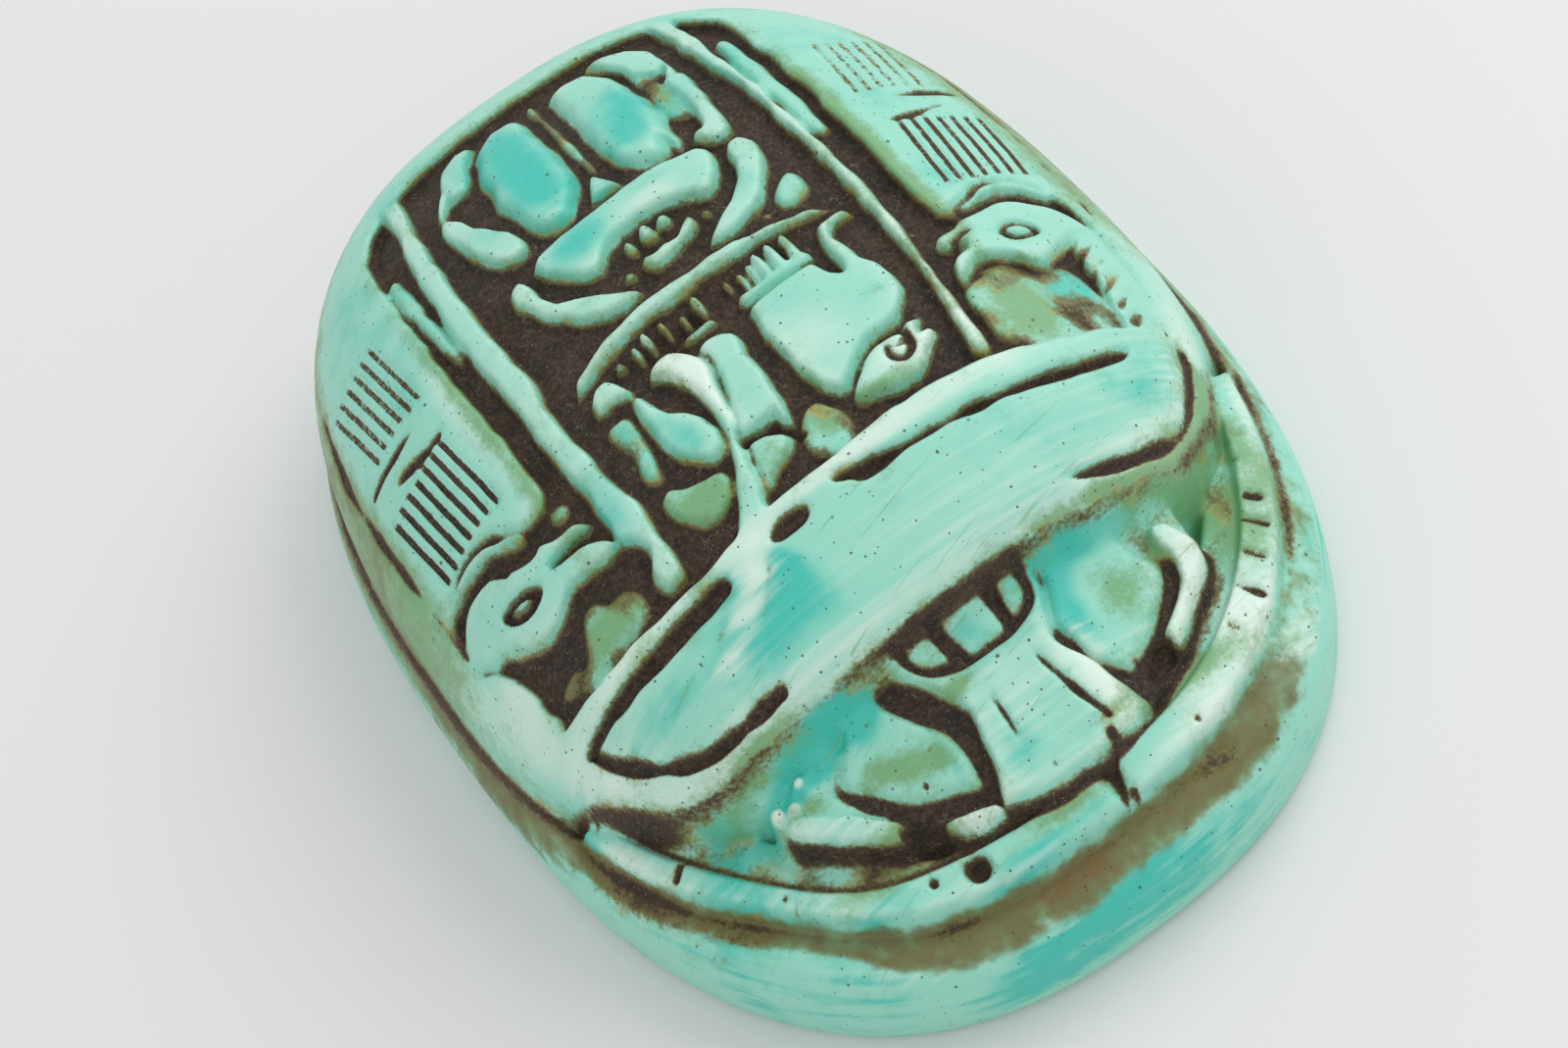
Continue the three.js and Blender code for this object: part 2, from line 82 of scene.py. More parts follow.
# A smooth curve through the points: each span blends its four nearest points by Barry and Goldman's
# pyramid, with knots spaced as the square root of the chords.
def centripetal(points, closed):
    given = np.array(points, float)
    if closed:
        ring = np.vstack([given[-1], given, given[0], given[1]])
    else:
        ring = np.vstack([2 * given[0] - given[1], given, 2 * given[-1] - given[-2]])
    chord = np.linalg.norm(np.diff(ring[:, :2], axis=0), axis=1) ** 0.5 + 1e-6
    knot = np.concatenate([[0], np.cumsum(chord)])
    p0, p1, p2, p3 = (ring[k:len(ring) - 3 + k, None, :] for k in range(4))
    t0, t1, t2, t3 = (knot[k:len(ring) - 3 + k, None, None] for k in range(4))
    steps = 6
    t = t1 + (t2 - t1) * np.arange(steps)[None, :, None] / steps
    a1 = ((t1 - t) * p0 + (t - t0) * p1) / (t1 - t0)
    a2 = ((t2 - t) * p1 + (t - t1) * p2) / (t2 - t1)
    a3 = ((t3 - t) * p2 + (t - t2) * p3) / (t3 - t2)
    b1 = ((t2 - t) * a1 + (t - t0) * a2) / (t2 - t0)
    b2 = ((t3 - t) * a2 + (t - t1) * a3) / (t3 - t1)
    curve = (((t2 - t) * b1 + (t - t1) * b2) / (t2 - t1)).reshape(-1, given.shape[1])
    return curve if closed else np.vstack([curve, given[-1]])


def loop(*points):
    return {"kind": "outline", "points": centripetal(points, True)}


def cornered(*points):
    return {"kind": "outline", "points": np.array(points, float)}


def stroke(*points):
    return {"kind": "stroke", "points": centripetal(points, False)}


def oval(x, y, halfAcross, halfAlong, turn=0.0):
    angle = np.linspace(0, 2 * np.pi, 20, endpoint=False)
    ox, oy = halfAcross * np.cos(angle), halfAlong * np.sin(angle)
    turned = [x + ox * math.cos(turn) - oy * math.sin(turn), y + ox * math.sin(turn) + oy * math.cos(turn)]
    return {"kind": "outline", "points": np.stack(turned, 1)}


def mirrored(figure):
    flip = np.ones(figure["points"].shape[1])
    flip[0] = -1
    return {**figure, "points": figure["points"] * flip}


# The part of the height map within reach of some points.
def windowOf(points, reach):
    left, bottom = points[:, :2].min(0) - reach
    right, top = points[:, :2].max(0) + reach
    columns = slice(max(0, int((left - columnX[0]) / pitch)), int((right - columnX[0]) / pitch) + 2)
    rows = slice(max(0, int((bottom - rowY[0]) / pitch)), int((top - rowY[0]) / pitch) + 2)
    return rows, columns


# How far inside a figure each point lies, in millimetres, below 0 outside, strayed a little so that the
# edge looks cut by hand. The distance to a side from a to b is |p - a - t(b - a)| with t = (p - a).(b - a)
# / |b - a|^2 held to 0..1. A stroke's is half its width less the distance to its middle line.
def distanceIn(figure, reach=0.5):
    points = figure["points"]
    view = windowOf(points, reach + (points[:, 2].max() / 2 if figure["kind"] == "stroke" else 0))
    x, y = planX[view], planY[view]
    closed = figure["kind"] == "outline"
    nearest = np.full(x.shape, 1e6)
    inside = np.zeros(x.shape, bool)
    ends = zip(points, np.roll(points, -1, 0)) if closed else zip(points[:-1], points[1:])
    for a, b in ends:
        dx, dy = b[0] - a[0], b[1] - a[1]
        t = np.clip(((x - a[0]) * dx + (y - a[1]) * dy) / max(dx * dx + dy * dy, 1e-9), 0, 1)
        away = np.hypot(x - a[0] - t * dx, y - a[1] - t * dy)
        if closed:
            nearest = np.minimum(nearest, away)
            if a[1] != b[1]:
                inside ^= ((a[1] > y) != (b[1] > y)) & (x < a[0] + dx * (y - a[1]) / dy)
        else:
            nearest = np.minimum(nearest, away - (a[2] + t * (b[2] - a[2])) / 2)
    depth = np.where(inside, nearest, -nearest) if closed else -nearest
    return view, depth + amulet["wobble"] * waver[view]


# 0 at an edge, rising to 1 at width inside it as 1 - (1 - distance / width)^2.2.
def rounded(distance, width):
    return 1 - (1 - np.clip(distance / width, 0, 1)) ** 2.2


# 0 before start, 1 after end, and 3t^2 - 2t^3 between them.
def softStep(value, start, end):
    t = np.clip((value - start) / (end - start), 0, 1)
    return t * t * (3 - 2 * t)


# The field convolved with a bell of that standard deviation in millimetres, by Fourier transform.
def blurred(field, radius):
    f0 = np.fft.fftfreq(field.shape[0], pitch)[:, None]
    f1 = np.fft.rfftfreq(field.shape[1], pitch)[None, :]
    bell = np.exp(-2 * (np.pi * radius) ** 2 * (f0 ** 2 + f1 ** 2))
    return np.fft.irfft2(np.fft.rfft2(field) * bell, field.shape)


# Seeded noise of about that grain in millimetres, with mean 0 and deviation 1.
def grain(size, seed):
    noise = blurred(np.random.default_rng(seed).standard_normal(planX.shape), size)
    return noise / noise.std()


waver = grain(0.45, 11)


# How far out a point lies: (|x / side|^power + |y / reach|^power)^(1 / power), 1 on the oval.
def ovalShare(x, y, side, front, rear, power):
    reach = np.where(y < 0, front, rear)
    return (np.abs(x / side) ** power + np.abs(y / reach) ** power) ** (1 / power)


def plinthShare(x, y):
    half = amulet["length"] / 2
    return ovalShare(x, y, amulet["width"] / 2, half, half, amulet["plinthPower"])


# The plinth's top: flat, then a quarter of an ellipse down to its side, by cos = 1 - inset / inward.
def plinthTop(share):
    inward, down = amulet["topRound"]
    cosine = np.clip(1 - (1 - share) * amulet["width"] / 2 / inward, 0, 0.97)
    return amulet["plinthHeight"] - down * (1 - np.sqrt(1 - cosine ** 2))


# plinthHeight + bodyHeight sqrt(1 - |x / side|^power - |y / reach|^power).
def domeHeight(x, y):
    share = ovalShare(x, y, amulet["bodySide"], amulet["bodyFront"], amulet["bodyRear"], amulet["bodyPower"])
    rise = np.sqrt(np.clip(1 - share ** amulet["bodyPower"], 0, 1))
    return amulet["plinthHeight"] + amulet["bodyHeight"] * rise, share


# Body outlines

# The prothorax's front edge, closed behind it, so that the body is inside.
def frontEdge():
    edge = [(-19.4, -9.6), (-18, -12), (-16.2, -14.4), (-13.6, -16.4), (-10, -17.15), (-4, -17.3), (0, -17.2),
            (5, -17.2), (10, -17.15), (13.8, -16.4), (16.3, -14.6), (18.2, -11.8), (19.4, -9.6)]
    curve = centripetal(edge, False)
    return cornered(*curve, (24, -8.6), (24, 32), (-24, 32), (-24, -8.6))


def field():
    side = [
        (5, 22.3), (9.2, 21.3), (11.2, 19), (11.5, 10), (11.4, 0), (11.5, -1.8), (11.8, -2.25),
        (12.6, -2.35), (13.2, -1.9), (14.1, -0.7), (15.3, -0.15), (16.5, -0.05), (17.7, -0.5), (18.4, -1.5),
        (18.6, -3), (18.5, -6.5), (17.9, -9.2)]
    edge = [
        (16.8, -10.8), (12.5, -10.8), (8.5, -10.05), (4.5, -9.9), (-3.7, -10.3), (-8, -10.8),
        (-13.5, -10.6), (-16.8, -10)]
    right = [
        (5, 22.3), (9.2, 21.3), (11.2, 19), (11.5, 10), (11.4, 0), (11.6, -1.6), (12.1, -2), (12.7, -1.3),
        (13.6, -0.55), (14.8, -0.2), (16, -0.45), (17.1, -1.3), (17.7, -2.6), (17.95, -4.5), (17.95, -7),
        (17.5, -9.2)]
    return cornered(*right, *edge, *[(-x, y) for x, y in reversed(side)])


# Raised work in the sunk field. Each entry is a figure, its height as a share of the field's depth, the
# width of its rounded edge, and how deep a parting line it cuts in what lies under it.

def bars():
    left = loop(
        (-8.9, 21.4), (-7.8, 21.4), (-7.7, 20.3), (-8.1, 17.5), (-8.4, 13), (-8.6, 8), (-8.35, 4.6),
        (-8.5, 3), (-8.7, 1.5), (-8.6, -1.5), (-8.4, -4), (-8.15, -5.5), (-8.25, -8), (-8.4, -10),
        (-9.5, -10.1), (-9.8, -9.2), (-9.15, -8), (-9.45, -7.2), (-10.15, -6.6), (-10, -5.8), (-9.95, -3),
        (-10.1, 0), (-10.1, 3), (-10.2, 8), (-9.8, 14), (-9.1, 18.5))
    right = stroke(
        (8.6, 21.2, 1.1), (8.85, 18, 1.1), (8.9, 15, 0.95), (9.2, 12.5, 0.8), (9.35, 8, 0.8),
        (9.5, 3, 0.95), (9.4, -1, 0.85), (9.2, -4, 0.7), (9, -6, 0.75), (8.7, -8.5, 0.95),
        (8.6, -9.2, 0.95))
    return [(left, 0.97, 0.34, 0), (right, 1, 0.3, 0)]


def littleScarab():
    leftCase = cornered(
        (-0.9, 20.5), (-2.2, 20.7), (-3.5, 19.6), (-4.25, 17.5), (-4.45, 14.5), (-4.1, 12), (-3.7, 10.7),
        (-3.1, 10.2), (-1.9, 10.4), (-0.9, 11.6), (-0.3, 13.2), (-0.3, 17), (-0.4, 20))
    rightCase = cornered(
        (1.2, 20.2), (2.3, 20.6), (3.8, 20.2), (4.8, 18.5), (4.95, 15.5), (4.9, 13), (4.6, 10.9),
        (4.35, 10.5), (4.1, 11.3), (3.85, 10.5), (3.2, 10.2), (2.2, 10.5), (1.2, 12), (1.1, 15))
    shield = cornered(
        (-5.3, 9), (-4.7, 9.5), (-3, 9.75), (0, 10), (3, 9.95), (5, 9.6), (5.5, 9), (5.3, 8.2), (4.9, 7.3),
        (4.2, 6.4), (3.7, 6.15), (3, 6.6), (2.4, 7), (1.6, 7.35), (0.3, 7.5), (-0.9, 7.3), (-1.7, 6.9),
        (-2.3, 6.3), (-2.9, 6), (-3.6, 6.3), (-4.4, 7.1), (-5, 8))
    leftShin = cornered(
        (-7.4, 16), (-7.3, 14.5), (-7, 12.5), (-6.3, 10.7), (-5.6, 10.2), (-4.7, 10.2), (-4.45, 11.2),
        (-4.6, 12.2), (-5.1, 13), (-5.7, 14), (-6.2, 15.5), (-6.6, 16.5))
    leftThigh = cornered(
        (-6, 17.3), (-4.9, 17.2), (-4.4, 17.9), (-4, 19.5), (-3, 20.8), (-4.2, 21.3), (-5.3, 20.3),
        (-6, 18.9))
    rightShin = cornered(
        (7.3, 15.2), (7.45, 13), (7.2, 11), (7, 9.6), (6.4, 9.1), (5.6, 9.3), (5.2, 10.3), (5.8, 10.6),
        (6.2, 12), (6.1, 14), (6, 15.3), (6.6, 15.6))
    rightThigh = cornered(
        (5.05, 18.5), (5.2, 17.3), (5.8, 16.6), (6.3, 16.3), (7.2, 17), (7.1, 18.8), (6.4, 20.2), (5, 21),
        (3.9, 20.9))
    leftForeleg = cornered(
        (-6, 9.1), (-6.9, 8.6), (-7, 7.6), (-6.5, 6.2), (-5.8, 5.1), (-5.1, 4.2), (-4, 3.5), (-2.5, 3.3),
        (-1.7, 3.6), (-2.4, 4.1), (-3.2, 4.9), (-4.3, 5.7), (-5.1, 6.2), (-5.5, 7.3), (-5.7, 8.5))
    rightForeleg = cornered(
        (6, 8.7), (6.8, 8.7), (7.4, 7.8), (7.3, 6.9), (6.7, 5.6), (5.9, 4.5), (4.9, 3.7), (3.6, 3.35),
        (2.3, 3.4), (2, 3.7), (3, 4.4), (4.2, 5.2), (5.2, 6.2), (5.6, 7.2), (5.7, 8.1))
    mouth = loop(
        (-0.9, 5.2), (-0.2, 5.2), (0.4, 5.35), (1.1, 5.2), (1.7, 5.6), (2.3, 5.9), (2.4, 5.2), (2, 4.9),
        (1.3, 4.6), (0.3, 4.2), (-0.7, 4.2))
    blob = loop((6, 3.3), (7.3, 3.2), (7.8, 3.9), (7.8, 4.8), (7.4, 5.2), (6.7, 4.9), (6, 4.2))
    wedge = cornered((-1, 10.3), (1.1, 10.3), (0.05, 12.1))
    return [
        (stroke((0.38, 12.6, 0.5), (0.4, 20.6, 0.5)), 0.5, 0.25, 0), (leftThigh, 0.8, 0.36, 0),
        (rightThigh, 0.85, 0.36, 0), (leftShin, 0.95, 0.36, 0), (rightShin, 0.9, 0.36, 0),
        (stroke((-6.9, 15.9, 0.7), (-6.7, 17, 0.8), (-5.9, 18.3, 0.8)), 0.8, 0.36, 0),
        (stroke((6.7, 15.5, 0.7), (7, 16.4, 0.7), (6.9, 17.5, 0.8)), 0.85, 0.36, 0),
        (leftCase, 1, 0.9, 0.6), (rightCase, 1, 0.9, 0.6), (wedge, 0.85, 0.35, 0), (shield, 1, 0.5, 0.7),
        (leftForeleg, 0.95, 0.36, 0.3), (rightForeleg, 0.95, 0.36, 0.3), (mouth, 0.85, 0.35, 0),
        (oval(-0.9, 6.4, 0.3, 0.55), 0.75, 0.3, 0), (oval(0.15, 6.5, 0.4, 0.65), 0.9, 0.35, 0),
        (oval(1.25, 6.75, 0.4, 0.4), 0.65, 0.3, 0), (oval(3, 5.5, 0.28, 0.28), 0.6, 0.25, 0),
        (oval(-1.8, 4.9, 0.28, 0.28), 0.55, 0.25, 0), (blob, 0.6, 0.4, 0),
        (oval(5.1, 3.45, 0.4, 0.25), 0.4, 0.25, 0)]


def skyBow():
    bow = cornered(
        (-7.5, 0.8), (-7.1, 1.5), (-6, 2.15), (-4.5, 2.6), (-2.5, 2.85), (0, 2.92), (3, 2.85), (5, 2.55),
        (6.6, 2.15), (7.9, 1.8), (6.6, 1.7), (5.5, 1.85), (3.5, 1.95), (0, 1.95), (-3, 1.95), (-4.4, 1.7),
        (-5.6, 1.3), (-6.6, 1.05))
    return [(bow, 0.95, 0.3, 0)]


def toothRow():
    teeth = [
        (-3.95, 0.15, 1.05, 0.4, 0.8), (-3.22, 0.1, 1.15, 0.5, 1), (-2.25, 0.15, 1.15, 0.52, 1),
        (-1.28, 0.15, 0.8, 0.56, 1), (-0.3, 0.15, 1.15, 0.56, 1), (1.38, 0.4, 1.1, 0.5, 0.85),
        (2.1, 0.1, 1.1, 0.46, 0.75), (2.68, 0.1, 1.15, 0.42, 0.8), (3.2, 0.05, 1.3, 0.5, 1),
        (3.98, 0.05, 1.35, 0.62, 1), (4.83, 0.05, 1.35, 0.62, 1)]
    row = []
    for x, bottom, top, wide, level in teeth:
        middle = (x + 0.04, (bottom + top) / 2, wide)
        row.append((stroke((x, bottom, wide), middle, (x, top, wide)), level, 0.2, 0))
    return row + [
        (oval(-4.95, 0.68, 0.36, 0.34), 1, 0.28, 0),
        (loop((1.2, -0.1), (3, -0.05), (5.25, -0.05), (5.3, -0.6), (3, -0.7), (1.2, -0.7)), 0.85, 0.22, 0),
        (loop((-2.05, -0.2), (-1, -0.12), (-0.05, -0.15), (-0.05, -0.6), (-1, -0.62), (-2.05, -0.55)),
         0.75, 0.22, 0)]


def seatedFigures():
    rightBody = cornered(
        (1.15, -0.9), (2, -0.8), (4, -0.75), (5.2, -0.75), (5.45, -1.2), (5.7, -1.9), (5.95, -2.2),
        (6.12, -1.7), (6.1, -0.6), (6.15, 0.5), (6.3, 1.15), (7.2, 1.25), (8.2, 1.2), (8.42, 0.85),
        (8, 0.6), (7.3, 0.38), (6.95, 0), (7, -1), (7.2, -1.8), (7.6, -2.7), (7.85, -3.7), (7.8, -4.6),
        (7.3, -5.4), (6.6, -6), (5.6, -6.3), (4.6, -6.35), (3.8, -6.7), (3.1, -7.3), (2.5, -7.8), (2, -7.7),
        (1.5, -7), (1.15, -5.5), (1.1, -3))
    rightFace = cornered(
        (2.35, -8.2), (2.9, -7.6), (3.8, -6.95), (4.7, -6.6), (5.5, -6.55), (6.15, -6.75), (6.35, -6.4),
        (6.9, -6.4), (7.4, -6.15), (7.45, -6.6), (7, -6.95), (6.75, -7.2), (7.5, -7.15), (7.55, -7.6),
        (7.1, -8), (6.5, -8.4), (6, -8.9), (5.3, -9.2), (4.4, -9.15), (3.3, -8.9), (2.5, -8.6))
    ear = cornered(
        (-7.3, -0.75), (-7.1, 0), (-6.6, 0.5), (-5.9, 0.6), (-5.5, 0.1), (-5.15, -0.7), (-5.3, -1.05),
        (-5.9, -0.9), (-6.4, -0.85), (-7, -0.95))
    leftLobe = cornered(
        (-5.6, -1.15), (-5.1, -1.15), (-4.7, -2.1), (-4.3, -3.1), (-3.7, -3.7), (-3.3, -4.3), (-3.1, -5.5),
        (-3.4, -6.5), (-4.3, -6.8), (-5, -6.5), (-5.6, -5.7), (-5.8, -4.6), (-5.8, -2.5))
    backLobe = cornered(
        (-1.9, -1.3), (-1.1, -1.1), (-0.3, -1.2), (0.3, -1.6), (0.35, -2.4), (0.1, -3), (0.1, -6),
        (-0.1, -7), (-0.4, -7.6), (-0.9, -7.2), (-1, -6.75), (-2, -6.68), (-2.8, -6.6), (-2.9, -5.4),
        (-2.2, -4.6), (-1.75, -3.2), (-1.6, -2.2))
    leftFoot = loop(
        (-7.3, -6.6), (-6.8, -6.3), (-6.2, -6.7), (-5.3, -6.85), (-4.3, -7.1), (-4.1, -7.9), (-4.6, -8.6),
        (-5.4, -9), (-6.1, -9.1), (-6.9, -8.4), (-7.3, -7.6))
    backFoot = cornered(
        (-3, -7), (-1.9, -7.15), (-1.1, -7.5), (-0.75, -8), (-1.3, -8.5), (-2.2, -8.8), (-3, -9.3),
        (-3.6, -9.6), (-3.7, -8.6))
    sideStrip = loop(
        (-7.3, -1.6), (-6.2, -1.5), (-6.1, -3), (-6.3, -4.6), (-6.7, -5.6), (-7.3, -5.3), (-7.2, -3.5))
    return [
        (sideStrip, 0.45, 0.3, 0), (leftFoot, 0.66, 0.4, 0), (backFoot, 0.75, 0.4, 0), (ear, 0.85, 0.35, 0),
        (leftLobe, 0.88, 0.45, 0.4), (backLobe, 0.9, 0.4, 0.7), (rightBody, 0.97, 0.4, 0),
        (rightFace, 0.95, 0.4, 0.9)]


def cobra():
    body = loop(
        (-4.3, -1.1), (-4, -0.6), (-3.3, -0.3), (-2.7, -0.4), (-2.1, -1), (-1.75, -1.8), (-1.7, -2.6),
        (-1.85, -3.6), (-2.1, -4.6), (-2.35, -5.6), (-2.8, -6.5), (-2.95, -7.3), (-3.2, -8.4), (-3.5, -9.5),
        (-3.75, -10.4), (-4.4, -11.2), (-6.6, -11.2), (-6.1, -10.6), (-5.5, -10), (-4.75, -9), (-4.15, -8),
        (-3.55, -6.9), (-3.15, -5.8), (-3.05, -4.6), (-3.1, -3.4), (-3.4, -2.2), (-3.7, -1.4))
    return [(body, 1, 0.4, 0.75)]


def falcons():
    leftHood = stroke(
        (-18.2, -1.1, 0.3), (-17.5, -0.9, 0.6), (-16.5, -0.8, 0.75), (-15.3, -1, 0.8), (-14.2, -1.65, 0.75),
        (-13.4, -2.35, 0.5))
    leftHead = loop(
        (-18.6, -3.1), (-18.2, -2.3), (-17.3, -1.8), (-16, -1.95), (-15.2, -2.3), (-14.6, -3),
        (-13.3, -3.5), (-12.9, -3.4), (-12.2, -3.9), (-11, -4.2), (-10.4, -4.75), (-11, -4.85),
        (-12.9, -4.8), (-12.6, -5), (-11.2, -5.3), (-10.2, -6), (-10, -6.6), (-10.8, -6.9), (-11.8, -6.6),
        (-12.8, -6.5), (-13.6, -6.9), (-14.6, -7.1), (-15.6, -6.9), (-16.4, -6.2), (-17, -5.4),
        (-17.6, -4.8), (-18.3, -4.2))
    leftNeck = loop(
        (-18.4, -3.9), (-18.6, -5), (-18.5, -6.5), (-18.4, -8), (-17.9, -9.4), (-17, -9.9), (-16.75, -9.3),
        (-16.9, -8.5), (-16.95, -7.2), (-17.3, -6), (-17.8, -5))
    rightHood = stroke(
        (12.9, -1.7, 0.35), (13.6, -1.3, 0.6), (14.6, -0.95, 0.75), (15.8, -0.95, 0.7), (17, -1.7, 0.4))
    rightHead = loop(
        (10.2, -3.4), (10.5, -3), (11.5, -2.7), (12, -2.4), (13, -2.2), (14.4, -1.9), (15.6, -2.1),
        (16.6, -2.7), (17.4, -3.4), (17.6, -4.5), (16.5, -5), (15.6, -5.5), (14.6, -6.2), (13.6, -6.4),
        (13, -5.7), (12.4, -5.3), (11.6, -5.1), (10.6, -5.6), (10, -5.9), (10.1, -5), (10.6, -4.4),
        (11.4, -3.95), (10.7, -3.85))
    rightNeck = loop(
        (17.6, -4), (17.8, -6), (17.6, -8.5), (17, -10.6), (15.4, -11), (15.3, -9.5), (15.6, -8),
        (15.7, -6.6), (16.1, -5.2), (16.6, -4.4))
    return [
        (leftHood, 0.9, 0.25, 0), (leftNeck, 0.85, 0.4, 0), (leftHead, 0.97, 0.4, 0.6),
        (rightHood, 0.9, 0.3, 0), (rightNeck, 0.9, 0.4, 0), (rightHead, 0.97, 0.4, 0.4)]


def lowPatches():
    leftNest = loop(
        (-16, -8.9), (-15, -8.7), (-14.5, -9), (-13.8, -8.3), (-13.2, -7.4), (-12.5, -7.4), (-12, -8),
        (-11, -8.2), (-10.5, -9), (-10.8, -10), (-13, -10.3), (-14.5, -10.2), (-15.4, -9.6))
    rightNest = loop(
        (9.8, -6.3), (10.9, -5.8), (12.4, -5.9), (13.1, -6.8), (13, -9), (13.5, -10.2), (14.6, -10.6),
        (13.5, -11), (12, -10.9), (10.6, -10.4), (9.7, -9.5))
    rightWall = loop(
        (11, -5.5), (12.4, -5.4), (13.6, -6.5), (14.8, -6.4), (15.3, -8), (15.1, -10.8), (13.4, -10.8),
        (12.6, -7.4))
    middle = loop(
        (-0.5, -8.2), (0.1, -7.3), (0.9, -7.1), (1.4, -7.7), (1.9, -8.5), (1.8, -9.4), (0.9, -9.85),
        (0, -9.8), (-0.6, -9.3))
    besideCase = loop((5.3, 12.6), (6, 12.2), (6.3, 14.5), (6, 16.3), (5.3, 17.2), (5, 15.6))
    return [
        (leftNest, 0.45, 0.5, 0), (rightWall, 0.35, 0.4, 0), (rightNest, 0.55, 0.4, 0),
        (middle, 0.5, 0.3, 0), (stroke((10.1, 16.5, 1), (10.2, 11, 1.3), (10.3, 6.9, 1)), 0.68, 0.35, 0),
        (stroke((-10.7, 15.5, 0.8), (-10.6, 10.5, 0.8), (-10.5, 8, 0.6)), 0.6, 0.3, 0),
        (besideCase, 0.5, 0.35, 0), (oval(-11.3, -2.9, 0.5, 0.5), 0.3, 0.4, 0)]


# Cut lines: a figure, its depth in millimetres and the width of its rounded edge

featherRows = [  # bottom, top, how many, depth and colour against the deepest
    (-0.1, 5.3, 7, 1.0), (8.0, 13.8, 6, 0.7),
]
featherFrom, featherPitch, featherSlant = 13.15, 0.66, 0.5
rightWing = 0.7         # how deep its lines are against the left one's


# The left wing's cuts, and the same ones on the right, less deep.
def bothWings(cuts):
    left = [(mirrored(figure), deep, width) for figure, deep, width in cuts]
    return left + [(figure, deep * rightWing, width) for figure, deep, width in cuts]



# The fine lines of the rows, whose colour the glaze draws.
def barbs():
    cuts = []
    for bottom, top, count, depth in featherRows:
        for x in (featherFrom + featherPitch * i for i in range(count)):
            ends = (x, bottom, 0.34), (x + featherSlant, top, 0.28)
            cuts.append((stroke(*ends), depth * amulet["featherDepth"], 0.17))
    return bothWings(cuts)


def wingCuts():
    deep = amulet["featherDepth"]
    cuts = [
        (stroke((13.4, 5.45, 0.4), (14.6, 5.5, 0.6), (16.4, 6.1, 0.3)), deep, 0.25),
        (stroke((14.2, 7.2, 0.3), (15.8, 7.3, 0.5), (17.6, 7.5, 0.3)), deep, 0.25),
        (stroke((18.5, -3, 0.34), (18.6, 4, 0.36), (18.4, 10, 0.36), (17.2, 16, 0.3)), deep, 0.2)]
    return bothWings(cuts) + [(stroke((-12.4, 1.6, 0.25), (-12.7, 4.8, 0.25)), 0.15, 0.12)]


def faceLines():
    deep = amulet["grooveDepth"]
    teeth = [-6.1 - step * 1.02 for step in range(5)]       # along the right falcon's neck
    return [
        (stroke((-16.05, -4.25, 0.3), (-15.4, -4.35, 0.36), (-14.7, -4.6, 0.4), (-14.15, -5.1, 0.36),
                (-14.5, -5.3, 0.4), (-15.1, -5.3, 0.42), (-15.75, -4.9, 0.36), (-16.05, -4.25, 0.3)),
         deep, 0.18),
        (stroke((13.35, -4, 0.3), (13.8, -3.7, 0.36), (14.5, -3.8, 0.4), (14.9, -4.4, 0.34),
                (14.4, -4.6, 0.4), (13.7, -4.5, 0.4), (13.35, -4, 0.3)), deep, 0.18),
        (stroke((-15.4, -2.3, 0.3), (-14.95, -2.75, 0.28), (-14.8, -3.1, 0.16)), 0.5, 0.15),
        (stroke((10.6, -4.1, 0.15), (11.3, -3.6, 0.25), (12.3, -3.2, 0.15)), 0.4, 0.15),
        (stroke((-12.9, -4.85, 0.3), (-11.8, -4.85, 0.3), (-10.4, -4.95, 0.2)), 0.5, 0.15),
        *[(stroke((15.75, y - 0.4, 0.44), (16.25, y, 0.36), (16.9, y + 0.5, 0.2)), 0.22, 0.2) for y in teeth],
        (stroke((5.1, -7.1, 0.22), (5, -7.7, 0.24), (5.5, -8.1, 0.22), (6.1, -7.7, 0.22), (6.2, -7.1, 0.24),
                (6.25, -6.8, 0.26)), 0.4, 0.13),
        (stroke((5.3, -7.3, 0.14), (5.7, -7.4, 0.16), (6.1, -7.3, 0.14)), 0.25, 0.1),
        (stroke((1.2, -0.74, 0.14), (5.3, -0.74, 0.14)), 0.4, 0.1),
        (stroke((1.3, -6, 0.2), (1.7, -5.7, 0.14), (2, -5.3, 0.1)), 0.12, 0.1),
        (stroke((-2.75, -6.85, 0.2), (-2, -6.85, 0.28), (-1.2, -6.95, 0.26)), 0.45, 0.15),
        (stroke((-1.2, -6.95, 0.26), (-0.75, -7.6, 0.26), (-0.3, -8.2, 0.3)), 0.45, 0.15),
        (stroke((-17.8, -6, 0.15), (-17.3, -6.5, 0.2)), 0.2, 0.12),
        (stroke((-17.6, -8.6, 0.15), (-17.1, -9, 0.2)), 0.2, 0.12)]


